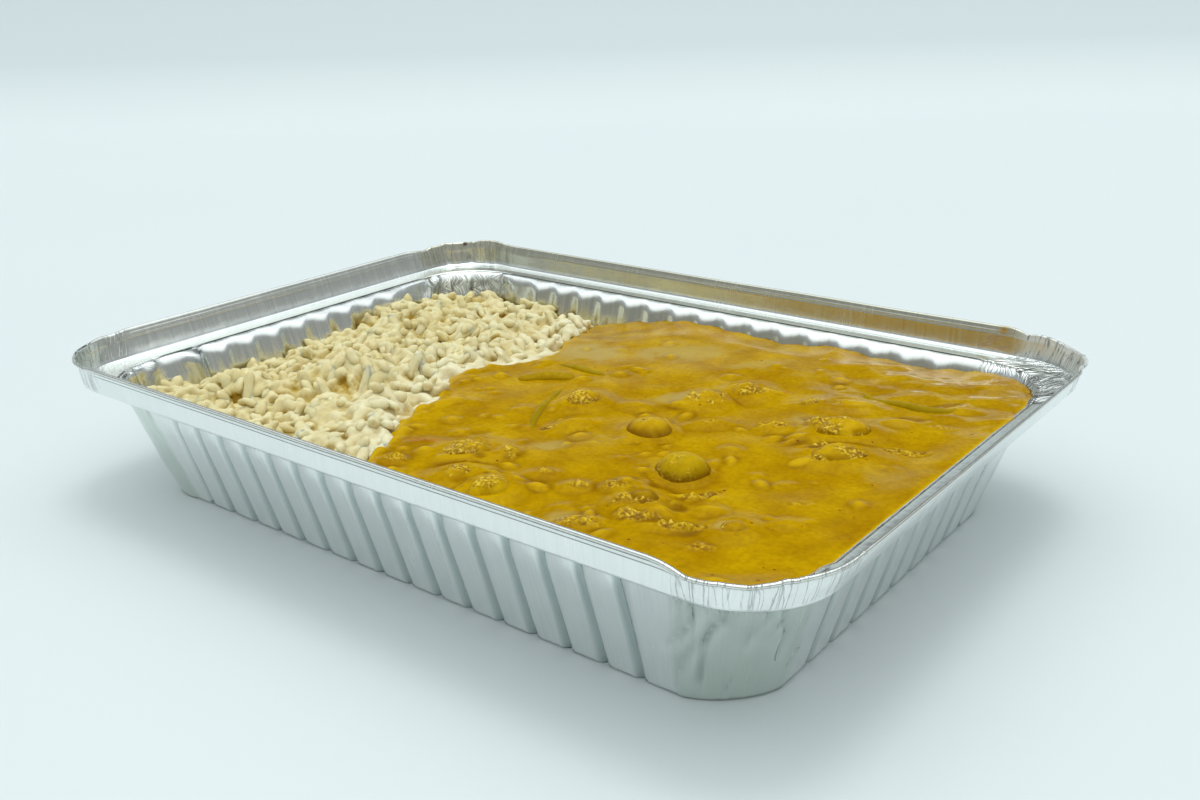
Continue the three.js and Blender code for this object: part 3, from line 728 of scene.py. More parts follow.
def foil_material():
    """Bright rolled foil: fine drawn streaks, faint crinkles, and fine folds in the crushed corners, with
    painted shade in its grooves, lines, folds and pleats, and painted highlights along some creases.
    """
    foil = Shading("foil", IOR=1.45)
    around, up = foil.attribute("around"), foil.attribute("up")
    streaks = foil.noise(foil.vector(foil.times(around, 1.7), foil.times(up, 0.05)), 1.0, 5.0)
    mottle = foil.noise(foil.place(), 90.0)
    crinkle = foil.noise(foil.place(), 260.0, 4.0)
    foil.use("Roughness", foil.times_plus(mottle, 0.14, foil.fit(streaks, 0.3, 0.7, 0.08, 0.2)))

    # folds sway round the tray and run up it, pleats lean a little
    swing = foil.noise(foil.vector(foil.times(around, 0.12), foil.times(up, 0.2)), 1.0, 1.0)
    swaying = foil.times(foil.times_plus(swing, 9.0, around), 0.9)
    folds = foil.off_middle(foil.noise(foil.vector(swaying, foil.times(up, 0.06)), 1.0, 2.0))
    folds = foil.math("MINIMUM", foil.times(folds, 9.0), 1.0)
    crushed = foil.attribute("crushed")
    # fold lines: painted shade in the creases of the crushed corners
    fold_lines = foil.times(foil.fit(folds, 0.0, 0.5, 1.0, 0.0), foil.fit(crushed, 0.2, 0.8))
    leaning = foil.times_plus(up, 0.10, foil.times(around, 0.8))
    pleats = foil.off_middle(foil.noise(foil.vector(leaning, foil.times(up, 0.05)), 1.0))
    # pleats: upright lines of painted shade on the lip
    pleats = foil.times(foil.fit(pleats, 0.0, 0.03, 1.0, 0.0), foil.attribute("pleated"))

    colour = foil.ramp(streaks, STREAK_COLOURS)
    for mark, strength, tint in FOIL_LINES:
        colour = foil.mix(foil.times(foil.attribute(mark), strength), colour, tint)
    for mark, tint in FOIL_TINTS:
        colour = foil.mix(foil.attribute(mark), colour, tint, "MULTIPLY")
    stain, spot = foil.attribute("stain"), foil.attribute("spot")
    # the fold lines and pleats lay painted shade over the colour; the stains and spots are the foil's own
    # marks
    tints = (FOLD_SHADE_COLOUR, PLEAT_SHADE_COLOUR, STAIN_COLOUR, SPOT_COLOUR)
    for cover, tint in zip((fold_lines, pleats, stain, spot), tints):
        colour = foil.mix(cover, colour, tint)
    foil.use("Base Color", colour)
    not_metal = foil.math("MAXIMUM", foil.attribute("matte"), foil.math("MAXIMUM", stain, spot))
    foil.use("Metallic", foil.math("SUBTRACT", 1.0, not_metal))

    normal = foil.bump(crinkle, 0.06, 0.0006)
    normal = foil.bump(mottle, 0.12, 0.002, normal)
    normal = foil.bump(streaks, 0.06, 0.0003, normal)
    normal = foil.bump(foil.times(folds, crushed), 0.4, 0.0005, normal)
    normal = foil.bump(pleats, 0.5, 0.0003, normal)
    foil.use("Normal", normal)
    return foil.material


def make_tray():
    points, faces = tray_mesh()
    tray = mesh_object("tray", points, faces, foil_material())
    spots = {"stain": near_marks(points, STAINS), "spot": near_marks(points, BROWN_SPOTS)}
    add_attributes(tray, {**tray_marks(), **spots})
    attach(tray, "root")
    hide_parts("foil_tray")


# ---- the food against the wall --------------------------------------------------------------------

FOOD_FLOOR = FOIL + 0.6      # height of the underside of the food
HEIGHT_WEIGHT = 3            # heights count more in the search, so that it finds points of like height
LOOKED_UP_ABOVE = 12         # height above which the real wall can be looked up
IN_FOIL = 0.85               # how far in from the foil's outer skin the food ends, as a share of FOIL
WALL_BAND = (-3, 3.5)        # distances from the plain wall between which the real one is looked up
NEAR_WALL = -4               # the same for the rice, which is moved back from it
SIDE_DROP = 2.5              # how far a body's sides slope in before they follow the wall down
SIDE_CLEARANCE = 3.6         # of the wall, where that slope ends
FLOOR_CLEARANCE = 3.2        # of the wall, at the underside


def beyond_wall(x, y, height):
    """How far each point lies outside the tray's wall at its height, leaving out the grooves."""
    below = SHOULDER_HEIGHT - np.minimum(height, SHOULDER_HEIGHT)
    half_x, half_y, corner = between(WALL_TOP, WALL_FOOT, below / (SHOULDER_HEIGHT - FOOT_HEIGHT))
    over_x = np.abs(x) - (half_x - corner)
    over_y = np.abs(y) - (half_y - corner)
    outside = np.hypot(np.maximum(over_x, 0), np.maximum(over_y, 0))
    return outside + np.minimum(np.maximum(over_x, over_y), 0) - corner


def wall_tree():
    """The tray's wall as a search tree, with its places and the directions out of the tray there."""
    wall = tray_points()
    rows = [row for row in range(len(wall)) if LOOKED_UP_ABOVE < wall[row, :, 2].mean() < FLANGE_HEIGHT - 0.2]
    places = (wall[rows] - OUTWARD_3D * FOIL * IN_FOIL).reshape(-1, 3)
    tree = KDTree(len(places))
    for i, (x, y, z) in enumerate(places):
        tree.insert((x, y, HEIGHT_WEIGHT * z), i)
    tree.balance()
    return tree, places, np.tile(OUTWARD, (len(rows), 1))


WALL, WALL_PLACES, WALL_DIRECTIONS = wall_tree()


def beyond_real_wall(point):
    """How far a point lies outside the wall with its grooves, the nearest place there, and the way out."""
    x, y, z = point
    _, found, _ = WALL.find((x, y, HEIGHT_WEIGHT * z))
    place, direction = WALL_PLACES[found, :2], WALL_DIRECTIONS[found]
    return np.dot(point[:2] - place, direction), place, direction


def fitted_sheet(x, y, height, wanted):
    """Points and quads of a grid trimmed to the tray: points just outside move onto its wall."""
    distance = beyond_wall(x, y, height)
    inside = distance < WALL_BAND[0]
    points = np.stack([x, y, height], -1)
    for row, column in np.argwhere((distance >= WALL_BAND[0]) & (distance < WALL_BAND[1]) & wanted):
        beyond, place, _ = beyond_real_wall(points[row, column])
        inside[row, column] = beyond < 0
        if beyond >= 0:
            points[row, column, :2] = place
    inside &= wanted
    quads = grid_faces(*x.shape)
    touched = inside.reshape(-1)[quads].any(1) & wanted.reshape(-1)[quads].all(1)
    return points.reshape(-1, 3), quads[touched]


def drawn_in(points, drop, clearance):
    """The points moved down, and inward where they would come nearer to the wall than the clearance."""
    moved = points.copy()
    moved[:, 2] = moved[:, 2] - drop
    toward_x = np.sign(moved[:, 0]) * np.maximum(np.abs(moved[:, 0]) - (WALL_FOOT[0] - WALL_FOOT[2]), 0)
    toward_y = np.sign(moved[:, 1]) * np.maximum(np.abs(moved[:, 1]) - (WALL_FOOT[1] - WALL_FOOT[2]), 0)
    reach = np.hypot(toward_x, toward_y) + 1e-6
    pull = np.maximum(beyond_wall(*moved.T) + clearance, 0)
    moved[:, 0] -= pull * toward_x / reach
    moved[:, 1] -= pull * toward_y / reach
    return moved


def kept_in(points, gap):
    """The points, with those that come nearer to the real wall than the gap moved back from it."""
    points = points.copy()
    near = (beyond_wall(*points.T) > NEAR_WALL) & (points[:, 2] > LOOKED_UP_ABOVE - 1)
    for i in np.flatnonzero(near):
        beyond, _, direction = beyond_real_wall(points[i])
        points[i, :2] -= max(beyond + gap, 0) * direction
    return points


def closed_body(points, quads):
    """Gives a sheet sides that stay inside the wall's taper down to the floor, and a flat underside."""
    used = np.unique(quads)
    renumber = np.full(len(points), -1)
    renumber[used] = np.arange(len(used))
    points, quads = points[used], renumber[quads]
    edges = np.concatenate([quads[:, [i, (i + 1) % 4]] for i in range(4)])
    key = edges[:, 0] * len(points) + edges[:, 1]
    open_edges = edges[~np.isin(key, edges[:, 1] * len(points) + edges[:, 0])]
    rim = np.unique(open_edges)
    below = [
        drawn_in(points[rim], SIDE_DROP, SIDE_CLEARANCE),
        drawn_in(points[rim], points[rim, 2] - FOOD_FLOOR, FLOOR_CLEARANCE),
    ]
    middle, low = np.full(len(points), -1), np.full(len(points), -1)
    middle[rim] = len(points) + np.arange(len(rim))
    low[rim] = len(points) + len(rim) + np.arange(len(rim))
    hub = len(points) + 2 * len(rim)
    edges = open_edges.tolist()
    sides = [(b, a, middle[a], middle[b]) for a, b in edges]
    sides += [(middle[b], middle[a], low[a], low[b]) for a, b in edges]
    base = [(low[b], low[a], hub) for a, b in edges]
    every = np.concatenate([points, *below, below[1].mean(0)[None]])
    return every, [*quads.tolist(), *sides, *base], used


# ---- the surface of the curry ---------------------------------------------------------------------

# How high it stands against the wall: places along the back, heights
CURRY_AT_BACK = [
    (-40, 21.2), (-26, 24.5), (-9, 27.3), (0, 27.5), (24, 26.5), (31, 27.0), (41, 28.2), (48, 27.4),
    (60, 27.3), (75, 27.6), (84, 28.8),
]
CURRY_AT_RIGHT = 29.75

# Patches where bits break the sauce's surface: x, y, half length, half width, turn, roughness
ROUGH_PATCHES = [
    (35.0, 10.0, 6.0, 4.6, 35, 1.0), (55.0, -44.0, 4.4, 3.0, 30, 0.9), (59.0, -49.6, 5.0, 1.8, 22, 0.8),
    (68.4, -47.6, 6.5, 2.0, 35, 1.0), (47.0, -41.4, 3.0, 2.2, 40, 0.8), (51.0, -56.8, 4.4, 2.4, 20, 0.7),
    (11.4, -44.4, 3.0, 2.2, 40, 0.8), (63.0, -33.0, 5.5, 1.8, 60, 0.8), (40.5, -44.4, 3.0, 2.2, 20, 0.8),
    (55.6, 4.5, 3.6, 2.2, 35, 0.9), (75.0, -7.5, 3.2, 1.6, 20, 0.7), (86.0, 8.0, 5.0, 1.8, 20, 0.5),
    (0.0, -55.4, 4.0, 2.6, 20, 0.6), (67.0, 13.0, 7.0, 4.6, 35, 1.0), (70.5, -1.0, 3.4, 2.2, 35, 0.8),
    (45.0, -1.5, 2.4, 1.6, 40, 0.4), (14.6, -23.0, 2.2, 1.3, 20, 0.8), (75.0, -52.0, 4.0, 2.2, 30, 0.4),
    (18.6, -40.4, 3.0, 1.2, -20, 0.8), (57.0, 22.0, 4.0, 2.4, 30, 0.6), (88.0, 24.0, 3.4, 1.4, 10, 0.5),
    (31.0, -42.6, 2.0, 1.4, 20, 0.5), (43.0, 22.0, 3.6, 2.2, 30, 0.7), (81.0, -27.0, 3.0, 1.2, 30, 0.3),
]

# Places where the sauce is darker from painted shade, redder, or brighter from a painted highlight and
# thicker: as above, with the strength last
DARK_PLACES = [
    (70.6, -1.6, 3.6, 2.0, 35, 0.9), (-2.0, -47.0, 5.0, 3.6, 20, 0.5), (3.6, -33.5, 3.4, 2.4, 40, 0.5),
    (81.6, 37.0, 7.0, 2.4, 60, 0.7), (15.0, -45.4, 1.8, 1.4, 30, 0.7), (27.8, -58.6, 4.0, 1.8, 30, 0.7),
    (20.6, -56.6, 3.0, 1.6, 30, 0.5), (62.0, -41.5, 3.4, 2.4, 20, 0.6), (53.4, -41.0, 4.0, 2.0, 30, 0.5),
    (77.0, -44.0, 3.0, 1.8, 30, 0.6), (79.0, 26.0, 5.0, 2.0, 10, 0.6), (-8.0, 6.4, 7.0, 2.0, 20, 0.4),
    (62.0, 23.6, 3.4, 1.6, 30, 0.4), (60.0, 13.0, 2.6, 2.0, 30, 0.5),
]
RED_PLACES = [
    (-2.3, -44.6, 5.0, 3.4, 30, 0.7), (47.4, 25.2, 1.6, 1.1, 30, 1.0), (40.2, 21.0, 1.2, 0.9, 30, 0.6),
]
BRIGHT_PLACES = [
    (25.6, -53.2, 3.0, 1.6, 25, 0.8), (71.6, -10.4, 2.6, 1.4, 40, 0.9), (64.6, 25.6, 5.0, 2.0, 35, 0.7),
    (59.6, -36.6, 3.2, 1.0, 60, 0.7), (10.6, -48.8, 5.0, 2.0, 35, 0.6), (84.0, -34.0, 5.0, 2.0, 30, 0.3),
    (-16.0, -24.0, 3.0, 6.0, 10, 0.5), (-10.0, -46.0, 3.0, 6.0, 20, 0.5), (45.2, 23.6, 4.0, 1.6, 30, 0.6),
]
# Places where the sauce has settled flat and a pale tan sheen is painted on, standing in for the reflection
# of the bright backdrop
SHEEN_PLACES = [
    (-11.8, 25.2, 15.0, 10.0, 39, 0.75), (8.1, 38.4, 17.0, 9.0, 39, 0.65), (31.8, 39.5, 10.0, 3.6, 39, 0.45),
    (21.5, -30.3, 6.0, 3.6, 39, 0.6), (27.6, 8.5, 7.0, 4.4, 39, 0.7), (59.9, 12.4, 5.6, 4.0, 39, 0.6),
    (46.2, -56.4, 4.0, 2.6, 39, 0.6), (46.2, -37.4, 3.4, 2.0, 39, 0.6), (75.1, -43.8, 3.6, 2.0, 39, 0.7),
    (27.6, -24.0, 10.0, 5.0, 39, 0.2), (88.0, -6.0, 6.0, 4.0, 39, 0.3),
]
SWELL_TURN = 38.8            # degrees by which the long swells and ripples lie turned
SMALL_LUMPS = 330            # humps over small sunk bits, of which some are left out
CURRY_STEP = 0.5             # between the points of its surface
ROUNDED_EDGE = 3.2           # width over which the sauce falls to the rice
EDGE_FALL = 2.6              # how far it falls there
PEEK_UNDER_RICE = 1.6        # how far it goes on under the edge of the rice


def catmull_rom(points, steps):
    """A smooth curve through the points."""
    points = np.array(points, float)
    ends = np.concatenate([[2 * points[0] - points[1]], points, [2 * points[-1] - points[-2]]])
    t = np.linspace(0, 1, steps, endpoint=False)[:, None]
    curve = []
    for a, b, c, d in zip(ends, ends[1:], ends[2:], ends[3:]):
        bend = (2 * a - 5 * b + 4 * c - d) * t ** 2 + (3 * b - a - 3 * c + d) * t ** 3
        curve.append(0.5 * (2 * b + (c - a) * t + bend))
    return np.concatenate(curve + [points[-1:]])


SHORE = catmull_rom(SHORELINE, 20)[::-1]


def shore_x(y):
    return read_off(SHORE[:, ::-1], y)


def turned(x, y, centre_x, centre_y, degrees):
    """Distances along and across a shape that lies turned at its centre."""
    angle = math.radians(degrees)
    along = (x - centre_x) * math.cos(angle) + (y - centre_y) * math.sin(angle)
    across = (y - centre_y) * math.cos(angle) - (x - centre_x) * math.sin(angle)
    return along, across


def oval_reach(x, y, oval):
    """0 in the middle of an oval (x, y, half length, half width, turn), 1 on its edge."""
    centre_x, centre_y, half_length, half_width, turn = oval
    along, across = turned(x, y, centre_x, centre_y, turn)
    return np.hypot(along / half_length, across / half_width)


def oval_hill(x, y, oval):
    return 0.5 + 0.5 * np.cos(math.pi * np.minimum(1, oval_reach(x, y, oval)))


def curry_height(x, y):
    """The level of the sauce, as in the CAD solid."""
    swell = 0.35 * np.sin(x / 9 + 0.6) * np.cos(y / 11 - 0.4) + 0.2 * np.sin((x + y) / 5.5)
    thin = smoothstep(-x, -6, 38) * smoothstep(y, 15, 60)
    lumps = np.max([rise * oval_hill(x, y, (*oval, turn)) for *oval, rise, turn in COVERED_LUMPS], axis=0)
    return CURRY_LEVEL + 0.007 * x + swell + lumps - 5.0 * thin


def patches(x, y, places, edge_noise=0.0):
    """Strength at each point of a list of oval patches with soft, uneven edges."""
    strength = np.zeros(np.broadcast(x, y).shape)
    edge = edge_noise * fractal(x / 3.1, y / 3.1, 41)
    for *oval, amount in places:
        strength = np.maximum(strength, amount * (1 - smoothstep(oval_reach(x, y, oval) + edge, 0.35, 1.1)))
    return strength


def waterline(proud, half_height):
    """How wide a ball is where it stands this far out of the sauce, as a share of its widest."""
    depth = 1 - proud / half_height
    return math.sqrt(1 - depth * depth)


def toppings_at(x, y):
    """Distance to the waterline of the nearest topping, negative inside, and whether that is a bare one."""
    nearest = np.full(np.broadcast(x, y).shape, 99.0)
    for number, (centre_x, centre_y, radius, proud) in enumerate(CHICKPEAS):
        edge = radius * waterline(proud, radius * CHICKPEA_HEIGHT)
        nearest = np.minimum(nearest, np.hypot(x - centre_x, y - centre_y) - edge)
        if number + 1 == BARE_CHICKPEAS:
            bare = nearest.copy()
    for *oval, proud, turn in CHUNKS:
        half_width = oval[3]
        away = (oval_reach(x, y, (*oval, turn)) - waterline(proud, half_width * CHUNK_HEIGHT)) * half_width
        nearest = np.minimum(nearest, away)
    return nearest, bare <= nearest


def small_lumps(x, y):
    """Humps over small sunk bits, many in front and along the rice, few at the back and on the right."""
    random = np.random.default_rng(67)
    height = np.zeros(np.broadcast(x, y).shape)
    for _ in range(SMALL_LUMPS):
        centre_x, centre_y, turn = random.uniform(-40, 92), random.uniform(-63, 58), random.uniform(0, 180)
        half_length = random.uniform(1.3, 4.0)
        half_width = half_length * random.uniform(0.45, 0.9)
        rise = random.uniform(0.12, 0.5) * half_width ** 0.6
        crowd = 0.75 - 0.6 * smoothstep(centre_y, 5, 30) - 0.45 * smoothstep(centre_x, 58, 78)
        if random.random() > crowd + 0.3 * (centre_x - shore_x(centre_y) < 12):
            continue
        near = (np.abs(x - centre_x) < half_length) & (np.abs(y - centre_y) < half_length)
        hump = oval_hill(x[near], y[near], (centre_x, centre_y, half_length, half_width, turn))
        height[near] = np.maximum(height[near], rise * hump)
    return height


def sauce_surface(x, y):
    """The sauce as it shows, with swells, ripples and rough patches. It rises where it wets something."""
    height = curry_height(x, y)
    to_back = smoothstep(y, 48, 64) * (read_off(CURRY_AT_BACK, x) - height)
    by_wall = smoothstep(beyond_wall(x, y, height), -9, 0)
    to_right = (CURRY_AT_RIGHT - height) * by_wall * smoothstep(x, 60, 90)
    height = height + to_back + to_right * (1 - smoothstep(y, 40, 56))

    along, across = turned(x, y, 0, 0, SWELL_TURN)
    settled = smoothstep(y, 5, 30) * smoothstep(-x, -35, 0)
    rippled = smoothstep(x, 34, 64) * smoothstep(y, 16, 40)
    height = height + 0.13 * fractal(along / 15.0, across / 9.0, 51, 2)
    height = height + 0.08 * noise(along / 24.0, across / 6.0, 57) * settled
    ripple = noise(along / 6.0, across / 5.0, 54) + 0.35 * noise(along / 3.2, across / 3.0, 55)
    height = height + 0.42 * ripple * rippled
    height = height + 1.2 * small_lumps(x, y)

    rough = patches(x, y, ROUGH_PATCHES, 0.35)
    bits = ridged(x / 2.4, y / 2.4, 61) + 0.7 * ridged(x / 1.2, y / 1.2, 62)
    height = height + rough * (1.1 * bits - 0.5)
    away, by_bare_one = toppings_at(x, y)
    outside = np.maximum(away, 0)
    thin_rise, thick_rise = 0.8 * np.exp(-outside / 0.9), 1.1 * np.exp(-(outside / 2.8) ** 2)
    height = height + np.where(by_bare_one, thin_rise, thick_rise)
    height = height - 0.5 * patches(x, y, DARK_PLACES)
    height = height + 0.4 * patches(x, y, BRIGHT_PLACES, 0.2)
    return height, rough, away


# ---- the curry ------------------------------------------------------------------------------------

# Painted shade darkens hollows, gaps and the feet of toppings, painted highlights lighten proud places, and
# painted glints and a painted sheen stand in for reflections; the specks, olive and red are the sauce's own
# colours
PAINTED_SHADE_COLOUR = (0.20, 0.085, 0.0008)
PAINTED_HIGHLIGHT_COLOUR = (0.68, 0.43, 0.005)
SPECK_COLOUR = (0.20, 0.05, 0.003)
OLIVE_COLOUR = (0.30, 0.225, 0.001)
GLINT_COLOUR = (0.85, 0.60, 0.05)
RED_COLOUR = (0.46, 0.16, 0.001)
PAINTED_SHEEN_COLOUR = (0.46, 0.335, 0.085)
SAUCE_MARKS = [
    ("painted_sheen", PAINTED_SHEEN_COLOUR), ("olive", OLIVE_COLOUR), ("red", RED_COLOUR), ("hollow", PAINTED_SHADE_COLOUR),
    ("bright", PAINTED_HIGHLIGHT_COLOUR),
]
SAUCE_TINT = [(0.365, 0.19, 0.0006), (0.44, 0.25, 0.0008), (0.52, 0.315, 0.001)]
CHICKPEA_TINT = [(0.42, 0.235, 0.0006), (0.50, 0.295, 0.0008), (0.57, 0.355, 0.002)]
POTATO_TINT = [(0.40, 0.215, 0.0006), (0.50, 0.285, 0.0008), (0.60, 0.37, 0.003)]
ONION_TINT = [(0.36, 0.225, 0.002), (0.42, 0.265, 0.003), (0.50, 0.32, 0.008)]
PEPPER_TINT = [(0.42, 0.19, 0.001), (0.50, 0.27, 0.001), (0.56, 0.33, 0.002)]
GRAIN_OF_SAUCE = [(0.35, (0.80, 0.77, 0.6)), (0.62, (1.1, 1.08, 1.0))]
SPECK_RADII = (0.05, 0.17)   # smallest and largest, as shares of a cell
SPECKLESS = 0.9              # share of the cells without a speck


def sauce_material(name, tint, gloss):
    """Thick turmeric sauce: mottled ochre, with painted shade in hollows, painted highlights, glints and
    sheen, brown specks and a wet shine.
    """
    sauce = Shading(
        name, Subsurface_Weight=0.1, Subsurface_Scale=0.0012, Subsurface_Radius=(1.0, 0.5, 0.1))
    place = sauce.place()
    fine = sauce.noise(place, 900.0)
    colour = sauce.ramp(sauce.noise(place, 110.0, 4.0), list(zip((0.3, 0.5, 0.7), tint)))
    colour = sauce.mix(0.6, colour, sauce.ramp(fine, GRAIN_OF_SAUCE), "MULTIPLY")
    for mark, mark_tint in SAUCE_MARKS:
        colour = sauce.mix(sauce.attribute(mark), colour, mark_tint)

    rough, wet = sauce.attribute("rough"), sauce.attribute("wet")
    # where the sauce is rough: painted shade in the gaps between crumbs and painted glints on them
    crumbs = sauce.noise(place, 1500.0, 2.0)
    gaps = sauce.fit(crumbs, 0.5, 0.4, 0.0, 0.75)
    glints = sauce.fit(crumbs, 0.54, 0.64)
    for cover, cover_tint in ((gaps, PAINTED_SHADE_COLOUR), (glints, GLINT_COLOUR)):
        colour = sauce.mix(sauce.times(rough, cover), colour, cover_tint)

    specks = sauce.cells(place, 520.0)
    split = sauce.node("SeparateColor", {"Color": specks["Color"]}).outputs
    is_speck = sauce.math("LESS_THAN", specks["Distance"], sauce.fit(split["Green"], 0.0, 1.0, *SPECK_RADII))
    is_rare = sauce.math("GREATER_THAN", split["Red"], SPECKLESS)
    sauce.use("Base Color", sauce.mix(sauce.times(is_speck, is_rare), colour, SPECK_COLOUR))

    sauce.use("IOR", sauce.times_plus(rough, 0.14, sauce.times_plus(wet, 0.14, 1.09)))
    roughness = sauce.times_plus(rough, -0.08, sauce.times_plus(wet, -0.08, gloss))
    sauce.use("Roughness", sauce.math("MAXIMUM", roughness, 0.06))
    bits = sauce.times(sauce.cells(place, 1100.0)["Distance"], rough)
    sauce.use("Normal", sauce.bump(bits, 0.9, 0.0005, sauce.bump(fine, 0.1, 0.0004)))
    return sauce.material


def make_curry():
    x, y = np.meshgrid(np.arange(-50, 99.5, CURRY_STEP), np.arange(-68, 68.5, CURRY_STEP))
    height, rough, away = sauce_surface(x, y)
    # how far each point lies past the edge of the sauce, which is rounded and uneven along the rice
    uneven = 1.3 * fractal(x / 6, y / 6, 71, 2) + 0.6 * fractal(x / 2.2, y / 2.2, 72, 2)
    front = x - shore_x(y) + uneven + 1.4
    edge = np.minimum(np.clip(1 - front / ROUNDED_EDGE, 0, 1), 0.999)
    height = height - EDGE_FALL * (1 - np.sqrt(1 - edge ** 2)) - 1.5 * smoothstep(-front, 0, 1.5)
    points, quads = fitted_sheet(x, y, height, front > -PEEK_UNDER_RICE)
    body, faces, used = closed_body(points, quads)
    curry = mesh_object("curry_sauce", body, faces, sauce_material("sauce", SAUCE_TINT, 0.16))

    # painted shade darkens hollows and painted highlights lighten proud places, more so where the sauce is
    # rough; the dark places get painted shade, the bright places and the edge toward the rice painted
    # highlights
    smooth = height
    for _ in range(7):
        smooth = averaged(smooth)
    proud = height - smooth
    clear = away > 1.5
    hollow = np.max([
        rough * smoothstep(-proud, 0.05, 0.4),
        0.9 * patches(x, y, DARK_PLACES),
        0.85 * smoothstep(-proud, 0.0, 0.22) * clear,
    ], axis=0)
    bright = np.max([
        rough * smoothstep(proud, 0.1, 0.5),
        0.8 * patches(x, y, BRIGHT_PLACES, 0.2),
        0.55 * smoothstep(proud, 0.05, 0.35) * clear,
        0.45 * np.exp(-((front - 1.2) / 1.2) ** 2),
    ], axis=0)
    shades = {
        "hollow": hollow,
        "bright": bright,
        "rough": rough,
        "wet": smoothstep(x, 34, 64) * smoothstep(y, 10, 34),
        # painted sheen: pale tan standing in for the reflection of the backdrop on flat sauce
        "painted_sheen": patches(x, y, SHEEN_PLACES, 0.25),
        "red": patches(x, y, RED_PLACES, 0.2),
    }
    below = np.zeros(len(body) - len(used))
    for name, values in shades.items():
        shades[name] = np.concatenate([np.clip(values, 0, 1).reshape(-1)[used], below])
    add_attributes(curry, shades)
    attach(curry, "root")
    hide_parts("curry")


# ---- what lies in the sauce -----------------------------------------------------------------------


def ball(rings=30, segments=44):
    """A unit ball: points and faces, with one point at each pole."""
    down = np.linspace(0, math.pi, rings + 1)[1:-1, None]
    turn = np.linspace(0, 2 * math.pi, segments, endpoint=False)[None]
    x, y, z = np.sin(down) * np.cos(turn), np.sin(down) * np.sin(turn), np.cos(down) * np.ones_like(turn)
    points = np.concatenate([np.stack([x, y, z], -1).reshape(-1, 3), [(0, 0, 1), (0, 0, -1)]])
    return points, face_list(*tube_faces(rings - 1, segments))


def turned_about_z(points, angle):
    cos, sin = math.cos(angle), math.sin(angle)
    x, y, z = points.T
    return np.stack([x * cos - y * sin, x * sin + y * cos, z], -1)


def finish_topping(name, points, faces, material, rough, hollow, olive, fade=(0.6, 2.6)):
    """Makes a topping and paints light on it: painted shade where it enters the sauce, painted highlights on
    top and in rough places.
    """
    piece = mesh_object(name, points, faces, material)
    above = points[:, 2] - curry_height(points[:, 0], points[:, 1])
    patchy = rough * smoothstep(noise_around(points, 0.8, 91), 0, 0.6)
    add_attributes(piece, {
        "hollow": np.clip(hollow * (1 - smoothstep(above, *fade)), 0, 1),
        "olive": np.full(len(points), olive),
        "bright": np.clip(0.3 * smoothstep(above, 1.6, 3.4) + 0.5 * patchy, 0, 1),
        "rough": rough * smoothstep(noise_around(points, 0.5, 93), -0.1, 0.4),
    })
    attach(piece, "root")
    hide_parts(name)


def make_chickpeas():
    material = sauce_material("chickpea_skin", CHICKPEA_TINT, 0.3)
    unit, faces = ball()
    beak = CHICKPEA_BEAK * np.maximum(0, unit[:, 0]) ** 3
    cleft = CHICKPEA_RELIEF * np.exp(-(unit[:, 1] / 0.12) ** 2) * smoothstep(unit[:, 0], 0.2, 0.8)
    squared = (np.maximum(np.abs(unit[:, 0]), np.abs(unit[:, 1]))[:, None] + 1e-6) ** -0.22
    for number, (x, y, radius, proud) in enumerate(CHICKPEAS, 1):
        share = np.ones_like(unit) * (1, CHICKPEA_WIDTH, CHICKPEA_HEIGHT)
        share[:, 0] += beak
        if number == SQUARE_CHICKPEA:
            share[:, :2] *= squared
        relief = noise_around(unit, 2.2, 80 + number) + 0.6 * noise_around(unit, 5.5, 100 + number)
        skin = 1 + CHICKPEA_RELIEF * relief - cleft
        local = turned_about_z(unit * share * radius * skin[:, None], math.fmod(x * 0.7 + y, math.pi))
        centre = np.array([x, y, curry_height(x, y) + proud - radius * CHICKPEA_HEIGHT])
        look = OTHER_LOOKS.get(number, COATED_LOOK)
        finish_topping(f"chickpea_{number}", local + centre, faces, material, *look)


def make_chunks():
    material = sauce_material("potato_flesh", POTATO_TINT, 0.28)
    unit, faces = ball(44, 64)
    for number, (x, y, half_length, half_width, proud, turn) in enumerate(CHUNKS, 1):
        half_height = half_width * CHUNK_HEIGHT
        patchy = 1 + 0.07 * np.sin(unit[:, 0] * 5 + x) * np.cos(unit[:, 1] * 4 + unit[:, 2] * 3 + y)
        ragged = 0.08 * noise_around(unit, 2.2, 120 + number) + 0.035 * noise_around(unit, 5.0, 130 + number)
        local = unit * (patchy + ragged)[:, None] * (half_length, half_width, half_height)
        local = turned_about_z(local, math.radians(turn))
        centre = np.array([x, y, curry_height(x, y) + proud - half_height])
        shade = CHUNK_SHADE[number - 1]
        finish_topping(f"potato_chunk_{number}", local + centre, faces, material, 0.8, shade, 0.1)


